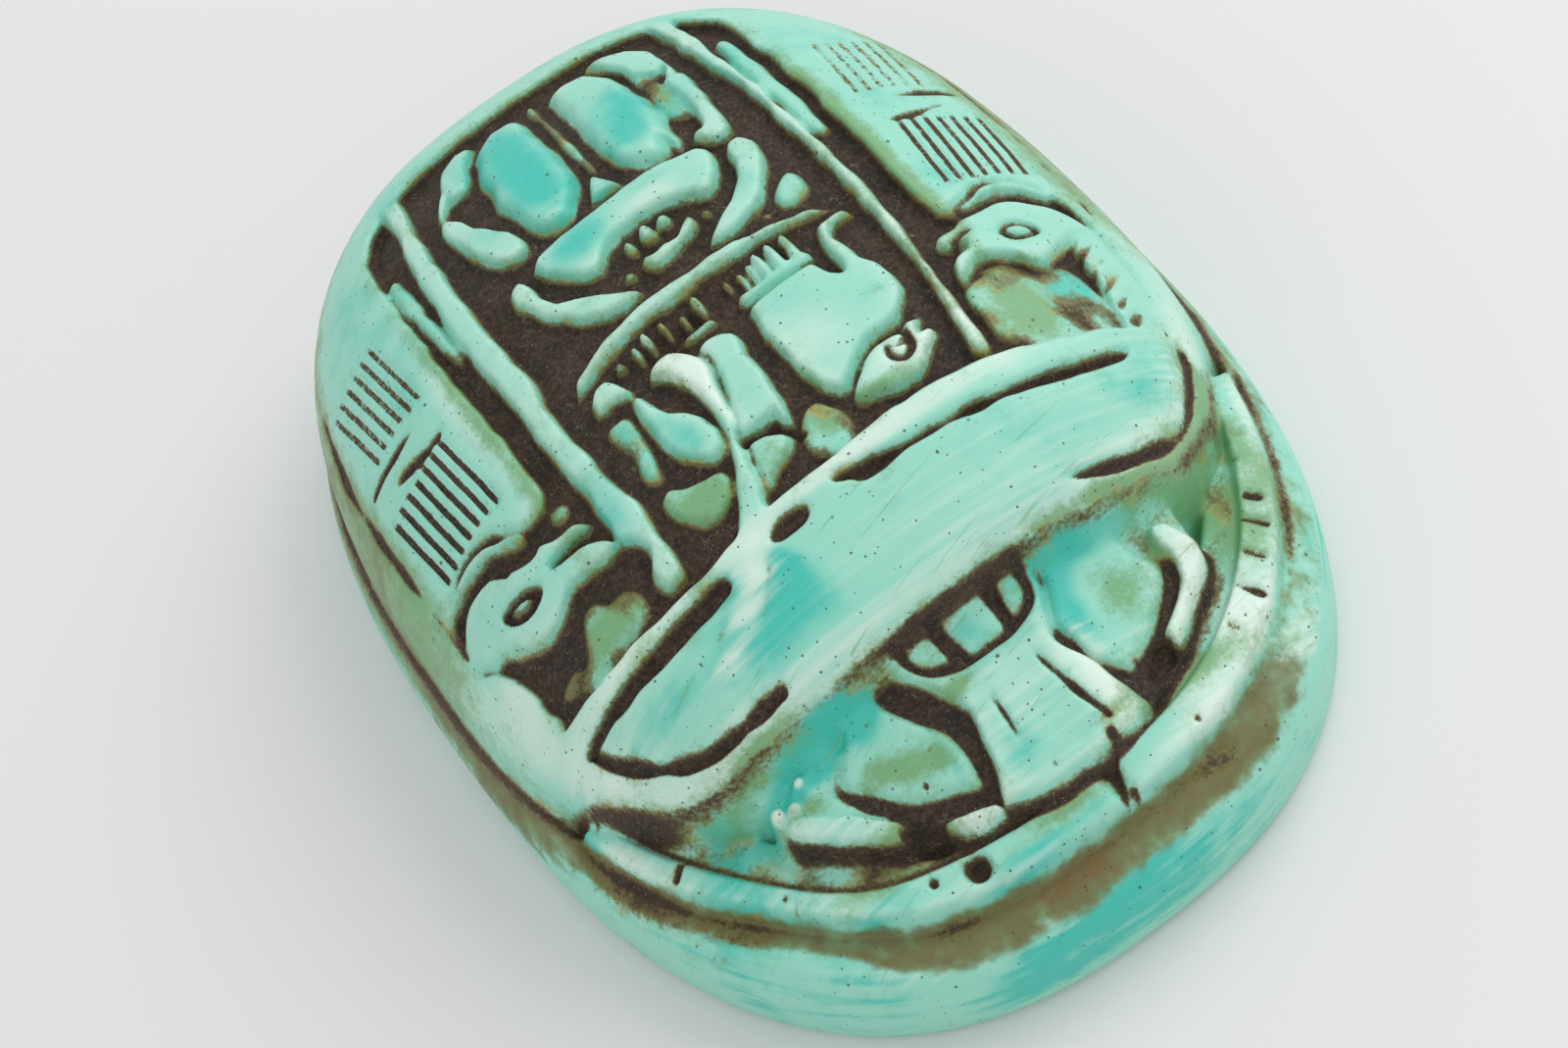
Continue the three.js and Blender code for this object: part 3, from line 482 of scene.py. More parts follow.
def prothoraxGrooves():
    deep = amulet["grooveDepth"]
    leftSlot = loop(
        (-16.9, -11.45), (-16, -11.25), (-14, -11.35), (-10, -11.35), (-7.3, -11.3), (-7.05, -11.7),
        (-7.3, -12.15), (-9, -12.3), (-11.5, -12.25), (-14, -12), (-15.8, -11.85))
    rightSlot = loop(
        (-0.7, -11), (0.5, -11.05), (3, -11.3), (6, -11.5), (9, -11.7), (12, -11.9), (14.5, -12),
        (13.5, -12.35), (12, -12.5), (9, -12.25), (6, -11.95), (3, -11.85), (0.3, -11.85), (0, -11.5))
    spot = loop(
        (-4.6, -11.5), (-4, -11.1), (-3, -11), (-2.3, -11.2), (-2.4, -11.6), (-3.4, -11.85), (-4.2, -11.85))
    return [
        (leftSlot, deep, 0.25), (rightSlot, deep, 0.25), (spot, deep * 0.7, 0.3),
        (stroke((-16.5, -11.6, 0.4), (-16, -12.6, 0.5), (-15, -13.9, 0.52), (-13.8, -15, 0.55),
                (-12.4, -15.8, 0.55), (-11, -16.15, 0.55), (-9.5, -16.3, 0.55), (-8.1, -16.35, 0.5)),
         0.6, 0.2),
        (stroke((17.05, -11.9, 0.3), (16.7, -12.7, 0.45), (16, -13.8, 0.45), (15, -15, 0.45),
                (13.8, -15.8, 0.45), (12.2, -16.2, 0.5), (10.5, -16.35, 0.5), (9, -16.25, 0.35),
                (7.9, -16.1, 0.2)), 0.6, 0.2),
        (stroke((-7.2, -12.4, 0.2), (-8.8, -13.2, 0.26), (-10.6, -14.1, 0.15)), 0.16, 0.13),
        (stroke((-5.2, -12.2, 0.2), (-6.6, -13.7, 0.24), (-8.9, -15, 0.15)), 0.13, 0.12)]


# Head: a figure, how far it lies below the clypeus, and the width of its rounded edge. The plates' are
# shares of plateDepth, the strips' are millimetres.

def headPlates():
    leftPlate = loop(
        (-8.3, -19.3), (-7.4, -18.4), (-6.5, -17.7), (-5.9, -17.3), (-5.1, -17.2), (-4.6, -18),
        (-3.9, -19.4), (-3.15, -20.7), (-2.95, -22), (-3.15, -23.3), (-4.2, -22.95), (-5.5, -22.35),
        (-6.5, -21.7), (-7.4, -20.7))
    rightPlate = loop(
        (3.85, -19.9), (4.15, -18.9), (4.6, -17.9), (5.2, -16.9), (7, -16.6), (8.6, -17.2), (9.2, -18.6),
        (9.7, -19.5), (9.4, -20.3), (8.4, -21.1), (6.8, -22.15), (5.5, -22.9), (4.95, -22.4), (4.2, -21.1))
    leftFill = loop(
        (-11.4, -18.7), (-10.4, -18.1), (-9, -17.6), (-7.7, -17.3), (-6.9, -17.4), (-7.7, -18.1),
        (-8.55, -19), (-8.65, -19.5), (-7.9, -20.6), (-7.2, -21.5), (-7.6, -21.9), (-8.8, -21),
        (-10.2, -19.9), (-11.3, -19.3))
    return [(leftFill, 0.85, 0.35), (leftPlate, 0.62, 0.5), (rightPlate, 0.6, 0.5)]


def headStrips():
    left = cornered(
        (-11.6, -18.95), (-10.8, -19), (-9.65, -19.65), (-8.2, -20.75), (-7.15, -21.8), (-6.7, -22.5),
        (-6.9, -23.2), (-7.7, -22.75), (-9.1, -21.65), (-10.6, -20.55), (-11.5, -19.8))
    front = cornered(
        (-5.7, -23.15), (-4.9, -23.35), (-3.9, -23.85), (-3.1, -24.2), (-3, -24.85), (-4, -24.6),
        (-5.1, -24.15), (-5.7, -23.7))
    right = cornered(
        (10.2, -17.7), (11.2, -18), (11.85, -19.1), (11.8, -19.9), (11.1, -20.8), (10.1, -21.7), (9, -22.5),
        (8, -23.05), (7.5, -22.4), (8.3, -21.75), (9.2, -21.05), (10, -20.3), (10.25, -19.5), (9.9, -18.5))
    return [(left, 0.15, 0.3), (front, 0.15, 0.3), (right, 0.05, 0.35)]


def clypeus():
    return cornered(
        (-3.7, -17.8), (-3, -18.7), (-2.4, -19.6), (-1.8, -20.6), (-2.05, -21.8), (-2.5, -23.1),
        (-3, -24.6), (-2, -24.95), (0, -25.25), (2, -25.2), (4, -24.95), (5.15, -24.55), (5.35, -24.35),
        (5.2, -24), (5, -23.2), (4.4, -21.9), (3.55, -20.2), (3.9, -19.2), (4.5, -18), (4.4, -16.8),
        (3.6, -15.8), (0.4, -15.5), (-2.6, -15.8), (-3.4, -16.8))


def eyeFrame():
    return loop(
        (-2.95, -16.4), (-3.05, -17.5), (-2.6, -18.45), (-1.2, -19.2), (0.5, -19.42), (2.5, -19.22),
        (3.8, -18.5), (4.2, -17.5), (4, -16.3), (0.5, -16.1))


def eyeCells():
    left = loop(
        (-2.6, -17.5), (-1.9, -17.3), (-1.15, -17.4), (-1, -18), (-1.05, -18.65), (-1.8, -18.45),
        (-2.4, -18.1))
    middle = cornered(
        (-0.7, -17.1), (2, -17), (2, -18), (1.85, -19), (0.8, -19.1), (-0.2, -19.05), (-0.5, -18))
    right = loop((2.5, -17.1), (3.1, -17.05), (3.75, -17.2), (3.7, -17.9), (3.15, -18.5), (2.5, -18.7))
    return [left, middle, right]


def headCuts():
    return [
        (stroke((-0.5, -20.9, 0.25), (-0.5, -21.8, 0.45), (-0.62, -22.7, 0.25)), 0.4, 0.2),
        (stroke((2.25, -20.5, 0.25), (2.55, -21.8, 0.38), (2.9, -23, 0.42), (3.35, -24.1, 0.3)), 0.4, 0.2),
        (stroke((1, -24.3, 0.25), (4, -24.15, 0.25)), 0.13, 0.15),
        (oval(-6.6, -23, 1.2, 0.62, -0.62), 0.9, 0.4), (oval(6.9, -22.95, 1.2, 0.6, 0.5), 0.8, 0.4)]


# Casting bubbles that opened on the surface: place, radius and depth.
def pits():
    spots = [
        (-5.5, -25.5, 0.75, 0.9), (-7.5, -24.85, 0.28, 0.4), (-13.2, -20.9, 0.25, 0.35),
        (-5.2, -21.75, 0.24, 0.3), (-4.15, -20.85, 0.17, 0.25), (-4.7, -19.9, 0.12, 0.2),
        (3.05, -21.8, 0.13, 0.2), (5.9, -22.5, 0.22, 0.25), (6.6, -25.9, 0.18, 0.25),
        (0, -24.55, 0.22, 0.12), (2.9, -24.85, 0.25, 0.2), (-12.4, -11, 0.14, 0.2),
        (-16.2, -18.6, 0.22, 0.3), (-5.7, -18.3, 0.1, 0.15), (2.2, -26.9, 0.3, 0.3),
        (-16.1, -12.2, 0.15, 0.2)]
    return [(oval(x, y, radius, radius), depth, radius) for x, y, radius, depth in spots]


# Bubbles that filled, in the hollow under the left shoulder: place, radius and height.
def nodules():
    return [
        (-11.3, -18.3, 0.4, 0.45), (-10.6, -18.75, 0.26, 0.35), (-9.7, -18.1, 0.33, 0.4),
        (-9.5, -18.8, 0.26, 0.3), (-8.5, -18.3, 0.25, 0.3), (-7.6, -18.3, 0.28, 0.3),
        (-6.7, -17.9, 0.22, 0.25), (9, -18.2, 0.2, 0.2), (-12.3, -18.3, 0.2, 0.3)]


# How far out a point lies from the arms' oval, which is worn back at the left.
def ringShare(x, y):
    share = ovalShare(
        x - amulet["ringShift"], y, amulet["ringSide"], amulet["ringFront"], amulet["ringFront"],
        amulet["plinthPower"])
    return share * (1 + amulet["ringWorn"] * np.exp(-((x + 14) / 3.5) ** 2))       # at the left


# Cut marks across the arms. Each is an angle round the ring, a length share and a width.
def armTicks():
    marks = [
        (-2.75, 0.35, 0.3), (-2.65, 0.4, 0.26), (-2.54, 0.35, 0.4), (-2.37, 0.3, 0.24), (-2.24, 0.3, 0.22),
        (-1.07, 0.5, 0.4), (-0.96, 0.7, 0.4), (-0.86, 0.5, 0.36), (-0.77, 0.6, 0.3), (-0.7, 0.35, 0.34),
        (-0.6, 0.6, 0.28), (-0.53, 0.4, 0.3), (-0.45, 0.5, 0.22)]
    cuts, power = [], 2 / amulet["plinthPower"]
    for angle, share, wide in marks:
        cosine, sine = math.cos(angle), math.sin(angle)
        outX = math.copysign(abs(cosine) ** power, cosine)
        outY = math.copysign(abs(sine) ** power, sine)
        ends = []
        for inset in (amulet["armWidth"] * (0.5 - share * 0.42), amulet["armWidth"] * (0.5 + share * 0.42)):
            x, y = (amulet["ringSide"] - inset) * outX, (amulet["ringFront"] - inset) * outY
            ends.append((x + amulet["ringShift"], y, wide))
        middle = tuple((a + b) / 2 for a, b in zip(*ends))
        cuts.append((stroke(ends[0], middle, ends[1]), 0.35, 0.2))
    cuts.append((stroke((2.1, -25.3, 0.7), (1.9, -26.2, 0.6), (1.6, -27.1, 0.35)), 0.3, 0.3))
    return cuts


washes = {  # broad stains and worn places, with a painted highlight and a painted shade among them: x, y, half across, half along, strength
    "glaze": [
        (-2.3, 15.5, 1.8, 4, 0.9), (3, 14, 1.8, 4, 0.35), (-3.5, 8.4, 2, 1, 0.5),
        (-6, -12.8, 1.8, 1.6, 0.9), (-12, -13.6, 3, 1.2, 0.7), (-7.5, -14.8, 3, 0.8, 0.6),
        (14, -13.4, 2, 1.5, 0.7), (-9.5, -5, 0.8, 2.5, 0.6), (-4.6, -5, 1, 2, 0.6), (7, -17, 4, 0.9, 1.1),
        # the strong spot at (-10, -18.2) is painted shade: dark teal laid in the hollow among the filled
        # bubbles under the left shoulder
        (-8, -17.6, 4, 0.8, 0.9), (4.9, -19.5, 1, 2, 0.9), (-10, -18.2, 1.8, 0.6, 1.3),
        (-15, -19.5, 3, 3, 0.5), (-19.3, -11.6, 0.8, 1.6, 1.1), (-14.3, -17.2, 1, 1.2, 0.8),
        (-5, -13.4, 1.3, 1.3, 1), (-4.2, -15.2, 2, 1, 0.5), (-0.8, -23.3, 1, 1, 0.5), (14, -8, 1, 1.6, 1),
        (-2, -26.6, 4, 0.5, 0.9), (-11, -24.2, 3, 1, 0.7), (-5.6, -18, 0.8, 0.8, 0.8),
        (-3.7, -22, 0.5, 1.5, 0.6), (-7.4, -3.5, 0.8, 2, 0.6), (0.5, -18, 1, 0.8, 0.5),
        (-10, -21.5, 2.5, 1.2, 0.5), (-5, -29.6, 12, 0.8, 1), (14.3, -7.6, 0.8, 1.2, 1.2),
        (0, 15, 14, 8, 0.3)],
    "pale": [
        (-14.5, -20, 3, 4, -0.45), (-9, -25, 4, 1.2, -0.3), (-2.8, -2, 1.2, 2.2, 1.6),
        (-2.4, -5, 0.5, 1.5, 0.6), (-6, -12.3, 1, 0.7, 1.2), (-7.4, -13.3, 1.1, 0.6, 1),
        (-9.2, -14.3, 1.1, 0.5, 0.8), (-11.3, -18.3, 0.35, 0.3, 1.6), (-9.7, -18.1, 0.3, 0.3, 1.6),
        (-10.5, -18.75, 0.25, 0.25, 1.2), (-5.2, -11.2, 1.3, 0.6, 1), (9, -6, 0.8, 4, 0.8),
        (3, -4.5, 2, 2, 0.6), (2, -10.5, 7, 0.5, 0.9), (-13, -10.9, 4, 0.4, 0.7), (3, -14.6, 8, 1.6, 0.33),
        (4.1, -22.5, 0.9, 2.4, 1.2), (10.5, -21, 2, 2, 1.2), (1.5, 8.2, 2, 0.8, 0.5), (12, -24, 3, 2, 0.8),
        (6, -7.8, 2, 1, 0.8), (-12.3, 5, 0.7, 6, 0.5), (-4.3, -24.2, 1.2, 0.6, 1.1),
        (0.5, -21.5, 2, 3, 0.4), (7.5, -25.7, 2, 0.8, 0.8), (-17.8, -7.5, 0.8, 2, 0.7),
        (-17.5, -13.8, 1.6, 2, 0.7), (18.2, -12.5, 1, 2, 0.6)],
    "green": [
        (-6.8, -19.9, 0.9, 0.6, 1), (-5.4, -20.6, 1, 0.7, 1.1), (-4.2, -21.3, 0.8, 0.7, 1),
        (-18.6, 3, 1.2, 8, 0.5), (1, -8.6, 1.2, 0.9, 0.5), (5.7, 14.6, 0.5, 1.6, 0.8),
        (7.4, -19.7, 1.6, 1.4, 1), (11.5, -8.3, 1.6, 2, 1), (-13.2, -9, 2.2, 1, 0.9),
        (11.7, 4, 0.6, 12, 0.9), (-11.7, 4, 0.6, 12, 0.7), (14, -18.5, 2, 3.5, 1), (8, -24.1, 4, 0.9, 1),
        (-5.8, -8, 1.6, 1, 1), (-2.3, -8.2, 1, 0.8, 0.5), (0, 24, 12, 3, 0.3), (17.9, 3, 0.8, 9, 0.4),
        (-9.9, -19.2, 1.3, 0.6, 0.9), (-9, -23, 3, 1, 0.8), (-1, -25.9, 3, 0.5, 0.7),
        (9, -16.9, 4, 0.3, 0.6), (-11, -17, 3, 0.3, 0.6), (16.8, -15, 1, 4.5, 0.9),
        (-1.5, -19.8, 0.9, 0.35, 1.1), (9.9, -19, 0.4, 1.5, 0.9), (6.2, -4.3, 1.2, 0.5, 0.35),
        (1.2, -7, 0.6, 1.2, 0.6), (4, -8.6, 1.6, 0.4, 0.7), (19.6, 5, 1, 12, 0.7), (-19.7, 6, 1, 12, 0.9),
        (12, -5.9, 1.5, 0.5, 0.9), (17.6, 12, 2, 5, 0.4)],
    "clean": [
        (-9.5, -17.9, 3, 0.5, 0.8), (-7.4, -17.7, 1.5, 0.4, 0.8), (12.5, -18, 1.6, 1, 0.8),
        (4.2, -19.7, 0.4, 0.8, 0.8), (4.7, -21, 0.4, 0.8, 0.6), (0.9, -26.1, 0.9, 0.5, 0.7),
        (7, -24.6, 3, 0.35, 0.5), (-6.8, -3.5, 0.5, 1.6, 0.35)],
    "earth": [
        (-18.6, -15.5, 2, 3.5, 1.5), (-16, -21, 2.5, 2.5, 1.2), (-8, -26.7, 3.5, 1, 0.8),
        (6.5, -27.6, 2.2, 0.7, 1.6), (0, -28, 4, 1, 0.5), (11, -26, 2.5, 1.2, 0.4),
        (-20.5, -4, 1.5, 9, 0.8), (20.5, -4, 1.5, 8, 0.3)],
    "amberAndHighlight": [
        # partly painted highlight: the bright ochre along the left bar's right edge and along the left arm's
        # inner rim; the rest is the ochre edge of the stain
        (-8.3, -3, 0.5, 7, 1), (-8.2, 9, 0.5, 7, 0.6), (-16, -16.5, 1.2, 2, 1), (-13.2, -19.8, 1.6, 1.2, 1),
        (-10.5, -22.3, 1.6, 1, 1), (-6.8, -25.4, 1, 1, 0.7), (8.6, -9.5, 1, 0.5, 0.6),
        (0, 1.6, 6, 0.4, 0.5), (5, -26.8, 3, 0.5, 0.5), (2.6, -11.3, 5, 0.3, 0.4)],
    "rust": [
        (-3, -27.7, 2.5, 0.7, 1), (-1, -27.9, 1.2, 0.5, 0.8), (-20.3, -1, 0.8, 4, 0.6),
        (-17, -19, 1.5, 3, 0.7), (-12, -25, 2, 1, 0.5), (-5.4, -25.5, 1.1, 0.9, 0.9),
        (-5.9, -8.6, 1.3, 0.5, 0.7), (3.5, -28, 2, 0.7, 0.5)],
}


# Soft spots added up: strength exp(-((x - a) / across)^2 - ((y - b) / along)^2).
def washed(name, x, y):
    total = np.zeros_like(x)
    for a, b, across, along, strength in washes[name]:
        total += strength * np.exp(-((x - a) / across) ** 2 - ((y - b) / along) ** 2)
    return total


# Cutting the height map

dirt = {  # stain from 0 to 1, and places and widths in millimetres
    "cutFull": 0.35, "pitFull": 0.1,                       # how deep a cut or a pit is that is filled
    "groundFrom": 0.1, "groundFull": 0.9,                  # how far sunk the field is where it is stained
    "blotches": 0.16, "partingReach": 0.13,
    "shelfShare": 0.36, "armLine": 0.75, "headEdge": 0.35, "headSkirt": 0.42, "leftSkirt": 0.12,
    "ledgeReach": (0.8, 2.2), "shoreAt": 0.3, "shoreWidth": 0.38, "shoreMost": 0.85,
    # the two corner values are painted shade: dark laid on the prothorax's front wall under its corners,
    # where that crevice is in shade
    "wall": 0.06, "behindEyes": 0.9, "leftCornerShade": 0.85, "rightCornerShade": 0.4,
    "crease": 0.85, "creaseWidth": 0.12, "tinge": 0.7, "tingeWidth": 0.25, "foot": 0.75,
}


# Each cut takes its depth from the height, and is filled with stain if it is as deep as fullDepth.
def cutInto(height, stain, cuts, fullDepth):
    for figure, deep, width in cuts:
        view, inside = distanceIn(figure, 0.1)
        cut = rounded(inside, width)
        height[view] -= deep * cut
        stain[view] = np.maximum(stain[view], cut * min(1, deep / fullDepth))


# The dome's height less the sunk field, with the raised work standing in it, and the cut lines.
def carveBody():
    height, share = domeHeight(planX, planY)
    sunk = np.zeros_like(height)
    view, inside = distanceIn(field(), 0.2)
    sunk[view] = rounded(inside, 0.55)
    risen, bare = np.zeros_like(height), np.zeros_like(height)      # bare is free of stain
    works = [lowPatches, bars, littleScarab, skyBow, toothRow, seatedFigures, cobra, falcons]
    for figure, level, width, parting in (work for draw in works for work in draw()):
        view, inside = distanceIn(figure)
        if parting:
            gap = np.where(inside < 0, np.exp(-(inside / dirt["partingReach"]) ** 2), 0)
            risen[view] *= 1 - parting * gap
            bare[view] *= 1 - parting * gap
        risen[view] = np.maximum(risen[view], level * rounded(inside, width))
        bare[view] = np.maximum(bare[view], min(1, 0.3 + level) * softStep(inside, -0.1, 0.1))
    floor = sunk * (1 - softStep(risen, 0.1, 0.4))
    height -= amulet["fieldDepth"] * sunk * (1 - risen)
    height += floor * (amulet["groundFine"] * grain(0.16, 3) + amulet["groundCoarse"] * grain(0.5, 4))
    blotch = dirt["blotches"] * grain(0.4, 7) * (bare < 0.97) * (bare > 0.2)
    stain = softStep(sunk, dirt["groundFrom"], dirt["groundFull"]) * np.clip(1 - bare + blotch, 0, 1)
    cutInto(height, np.zeros_like(height), barbs(), dirt["cutFull"])
    cutInto(height, stain, wingCuts() + faceLines() + prothoraxGrooves(), dirt["cutFull"])
    return height, share, stain


# The plinth, the shelf and arms of the forelegs, and the head, all in front of the body.
def carveFront():
    ground = plinthTop(plinthShare(planX, planY))
    stain = np.zeros_like(ground)
    ring = (1 - ringShare(planX, planY)) * amulet["ringFront"]      # millimetres inside the arms' outer edge
    front = softStep(-planY, -amulet["armsEnd"] - 0.3, -amulet["armsEnd"] + 0.3)
    shelf = rounded(ring, 0.3) * rounded(amulet["shelfWidth"] - ring, 0.4) * front
    ground += (amulet["shelfHeight"] - amulet["plinthHeight"]) * shelf
    gap = amulet["armsGap"]
    gapped = gap["depth"] * np.exp(-((planX - gap["x"]) / gap["width"]) ** 2) * (planY < gap["from"])
    armWidth = amulet["armWidth"] * (1 - amulet["leftArmWorn"] * softStep(-planX, 5, 13))
    band = rounded(ring, 0.35) * rounded(armWidth - ring, 0.3) * front * (1 - gapped)
    fall = amulet["armFall"] * (1 - ring / amulet["armWidth"]) * 0.8
    ground += np.clip(amulet["armHeight"] - amulet["shelfHeight"] - fall, 0, 1) * band
    outside = -ring * front
    washedEarth = washed("earth", planX, planY)
    ledge = softStep(outside, -0.1, 0.2) * (1 - softStep(outside, *dirt["ledgeReach"]))
    stain = np.maximum(stain, ledge * np.clip(0.1 + 0.3 * washedEarth, 0, 0.6))
    shore = np.clip(0.22 + 0.42 * washedEarth + 0.3 * softStep(planX, 13, 16) + 0.06 * grain(0.6, 9),
                    0, dirt["shoreMost"])
    nearShore = np.exp(-((outside - dirt["shoreAt"]) / dirt["shoreWidth"]) ** 2)
    stain = np.maximum(stain, nearShore * front * shore)
    gutter = softStep(ring, armWidth, armWidth + 0.5) * front
    stain = np.maximum(stain, (dirt["shelfShare"] + 0.12 * grain(0.5, 8)) * gutter)
    line = np.exp(-((ring - armWidth - 0.2) / 0.2) ** 2) * front * softStep(-planX, 3, 5)
    stain = np.maximum(stain, dirt["armLine"] * line)
    cutInto(ground, stain, armTicks(), dirt["pitFull"])
    return carveHead(ground, stain)


# The head: a fan that slopes down to the front, with the plates, strips and clypeus lifted out of it and
# the eyes sunk between their cells.
def carveHead(ground, stain):
    along = (planY - amulet["headBack"]) / (amulet["headFront"] - amulet["headBack"])
    top = amulet["headBackHeight"] + (amulet["headFrontHeight"] - amulet["headBackHeight"]) * along
    top = top - amulet["headSideFall"] * np.maximum(np.abs(planX) - 3, 0)
    fan = cornered(
        (11.8, -14), (12.2, -19.4), (10.5, -21.4), (8, -23.1), (5.3, -24.5), (3.2, -25.1), (1, -25.4),
        (-1, -25.3), (-3, -24.9), (-5.4, -23.9), (-7.8, -22.9), (-11.7, -20.2), (-12, -19.2), (-11.8, -14))
    view, inside = distanceIn(fan, 0.3)
    edge = rounded(inside, 0.25)
    sunkTop = top[view] - amulet["plateDepth"] - amulet["fanBelowPlates"]
    ground[view] = ground[view] + np.maximum(sunkTop - ground[view], 0) * edge
    crust = np.maximum(softStep(-planY[view], 19, 19.8), softStep(5.2 - np.abs(planX[view]), 0, 0.5))
    atLeft = softStep(-planX[view], 7.5, 9.5) * softStep(-planY[view], 15, 17)
    skirt = dirt["headSkirt"] - (dirt["headSkirt"] - dirt["leftSkirt"]) * atLeft
    crust = dirt["headEdge"] + (1 - dirt["headEdge"]) * crust
    stain[view] = np.maximum(stain[view], crust * softStep(inside, -skirt, 0.28 - skirt))
    lifted = [(figure, amulet["plateDepth"] * below, width) for figure, below, width in headPlates()]
    lifted += [(figure, below, width) for figure, below, width in headStrips()] + [(clypeus(), 0.0, 0.35)]
    for figure, below, width in lifted:
        part, inner = distanceIn(figure, 0.3)
        rise = rounded(inner, width)
        goal = top[part] - below
        ground[part] = np.maximum(ground[part], ground[part] + (goal - ground[part]) * rise)
        stain[part] *= 1 - softStep(inner, -0.08, 0.16)
    part, inner = distanceIn(eyeFrame(), 0.3)
    sink = rounded(inner, 0.3)
    lifts = np.zeros_like(top)
    for cell in eyeCells():
        cellPart, cellInner = distanceIn(cell, 0.3)
        lifts[cellPart] = np.maximum(lifts[cellPart], rounded(cellInner, 0.3))
    ground[part] -= amulet["eyeSink"] * sink * (1 - amulet["eyeLift"] * lifts[part])
    stain[part] = np.maximum(stain[part], sink * (1 - lifts[part]))
    cutInto(ground, stain, headCuts(), dirt["cutFull"])
    return ground, stain


# Body and front joined along the prothorax's front edge, whose rim is rounded and whose wall leans
# forward. Stain is how much dark lies in the carving, with painted shade laid on the wall under the
# prothorax's corners; tinge is how much green lies along the rim.
def heightMap():
    body, share, bodyStain = carveBody()
    front, frontStain = carveFront()
    edge = np.full_like(body, -9.0)
    view, inside = distanceIn(frontEdge(), 3)
    edge[view] = inside
    edge = np.where(planY > -8, 9.0, edge)
    rim = amulet["rimDrop"] * (1 - rounded(edge, amulet["rimRound"]))
    wall = np.where(edge > 0, body - rim, body - rim - amulet["wallSlope"] * np.minimum(-edge, 4))
    wall = np.where(share < 1, wall, 0)
    onBody = wall > front
    height = np.where(onBody, wall, front)
    lean = onBody & (edge <= 0)
    stain = np.where(onBody & (edge > 0), bodyStain * softStep(edge, 0, 0.3), frontStain)
    forward = softStep(-planY, 11, 14)
    crease = np.exp(-((edge - 0.02) / dirt["creaseWidth"]) ** 2) * softStep(-planY, 11, 12.5)
    tinge = dirt["tinge"] * np.exp(-((edge - 0.1) / dirt["tingeWidth"]) ** 2) * forward
    behindEyes = softStep(planX, -3.6, -3) * softStep(-planX, -4.5, -4) * softStep(-edge, -0.06, 0.06)
    # Painted shade: the wall under the prothorax's corners is darkened where the crevice lies in shade.
    corners = (dirt["leftCornerShade"] * softStep(-planX, 14.3, 16.3)
               + dirt["rightCornerShade"] * softStep(planX, 15, 17))
    stain = np.where(lean, dirt["wall"] + np.maximum(dirt["behindEyes"] * behindEyes, corners), stain)
    stain = np.maximum(stain, (dirt["crease"] - 0.15 * softStep(planX, 4, 6)) * crease)
    foot = softStep(share, 1.05, 1.0) * softStep(planY, -11.9, -11.2) * (share > 1)
    stain = np.maximum(stain, dirt["foot"] * foot)
    stain = stain * (1 - np.clip(washed("clean", planX, planY), 0, 1))
    legs = stroke((20.2, 8, 1), (20.4, 1, 1.1), (20.2, -5, 1.1), (19.4, -11.6, 1.1))
    for figure in (legs, mirrored(legs)):
        view, inside = distanceIn(figure, 0.3)
        lift = amulet["plinthHeight"] + amulet["sideLegHeight"] * rounded(inside, 0.5)
        height[view] = np.where(inside > 0, np.maximum(height[view], lift), height[view])
    cutInto(height, stain, pits(), dirt["pitFull"])
    for x, y, radius, rise in nodules():
        view, inside = distanceIn(oval(x, y, radius, radius), 0.1)
        height[view] += rise * rounded(inside, radius)
        stain[view] *= 1 - 0.8 * rounded(inside, radius)
    height += amulet["castCoarse"] * grain(1.6, 5) + amulet["castFine"] * grain(0.25, 6)
    crown = amulet["height"] - 0.01
    return np.minimum(blurred(height, amulet["meltRadius"]), crown), stain, tinge


print("cutting the height map")
heights, stainsAndShade, tinges = heightMap()


# The field at any points, between its four nearest cells in proportion.
def sampled(field, x, y):
    column = np.clip((x - columnX[0]) / pitch, 0, len(columnX) - 1.001)
    row = np.clip((y - rowY[0]) / pitch, 0, len(rowY) - 1.001)
    c, r = column.astype(int), row.astype(int)
    fc, fr = column - c, row - r
    near = field[r, c] * (1 - fc) + field[r, c + 1] * fc
    far = field[r + 1, c] * (1 - fc) + field[r + 1, c + 1] * fc
    return near * (1 - fr) + far * fr


# A net's places read off at a finer net's points, evenly between its own.
def doubled(net, shape):
    row = np.linspace(0, net.shape[0] - 1, shape[0])[:, None]
    column = np.linspace(0, net.shape[1] - 1, shape[1])[None, :]
    r, c = np.minimum(row.astype(int), net.shape[0] - 2), np.minimum(column.astype(int), net.shape[1] - 2)
    fr, fc = row - r, column - c
    return ((net[r, c] * (1 - fc) + net[r, c + 1] * fc) * (1 - fr)
            + (net[r + 1, c] * (1 - fc) + net[r + 1, c + 1] * fc) * fr)


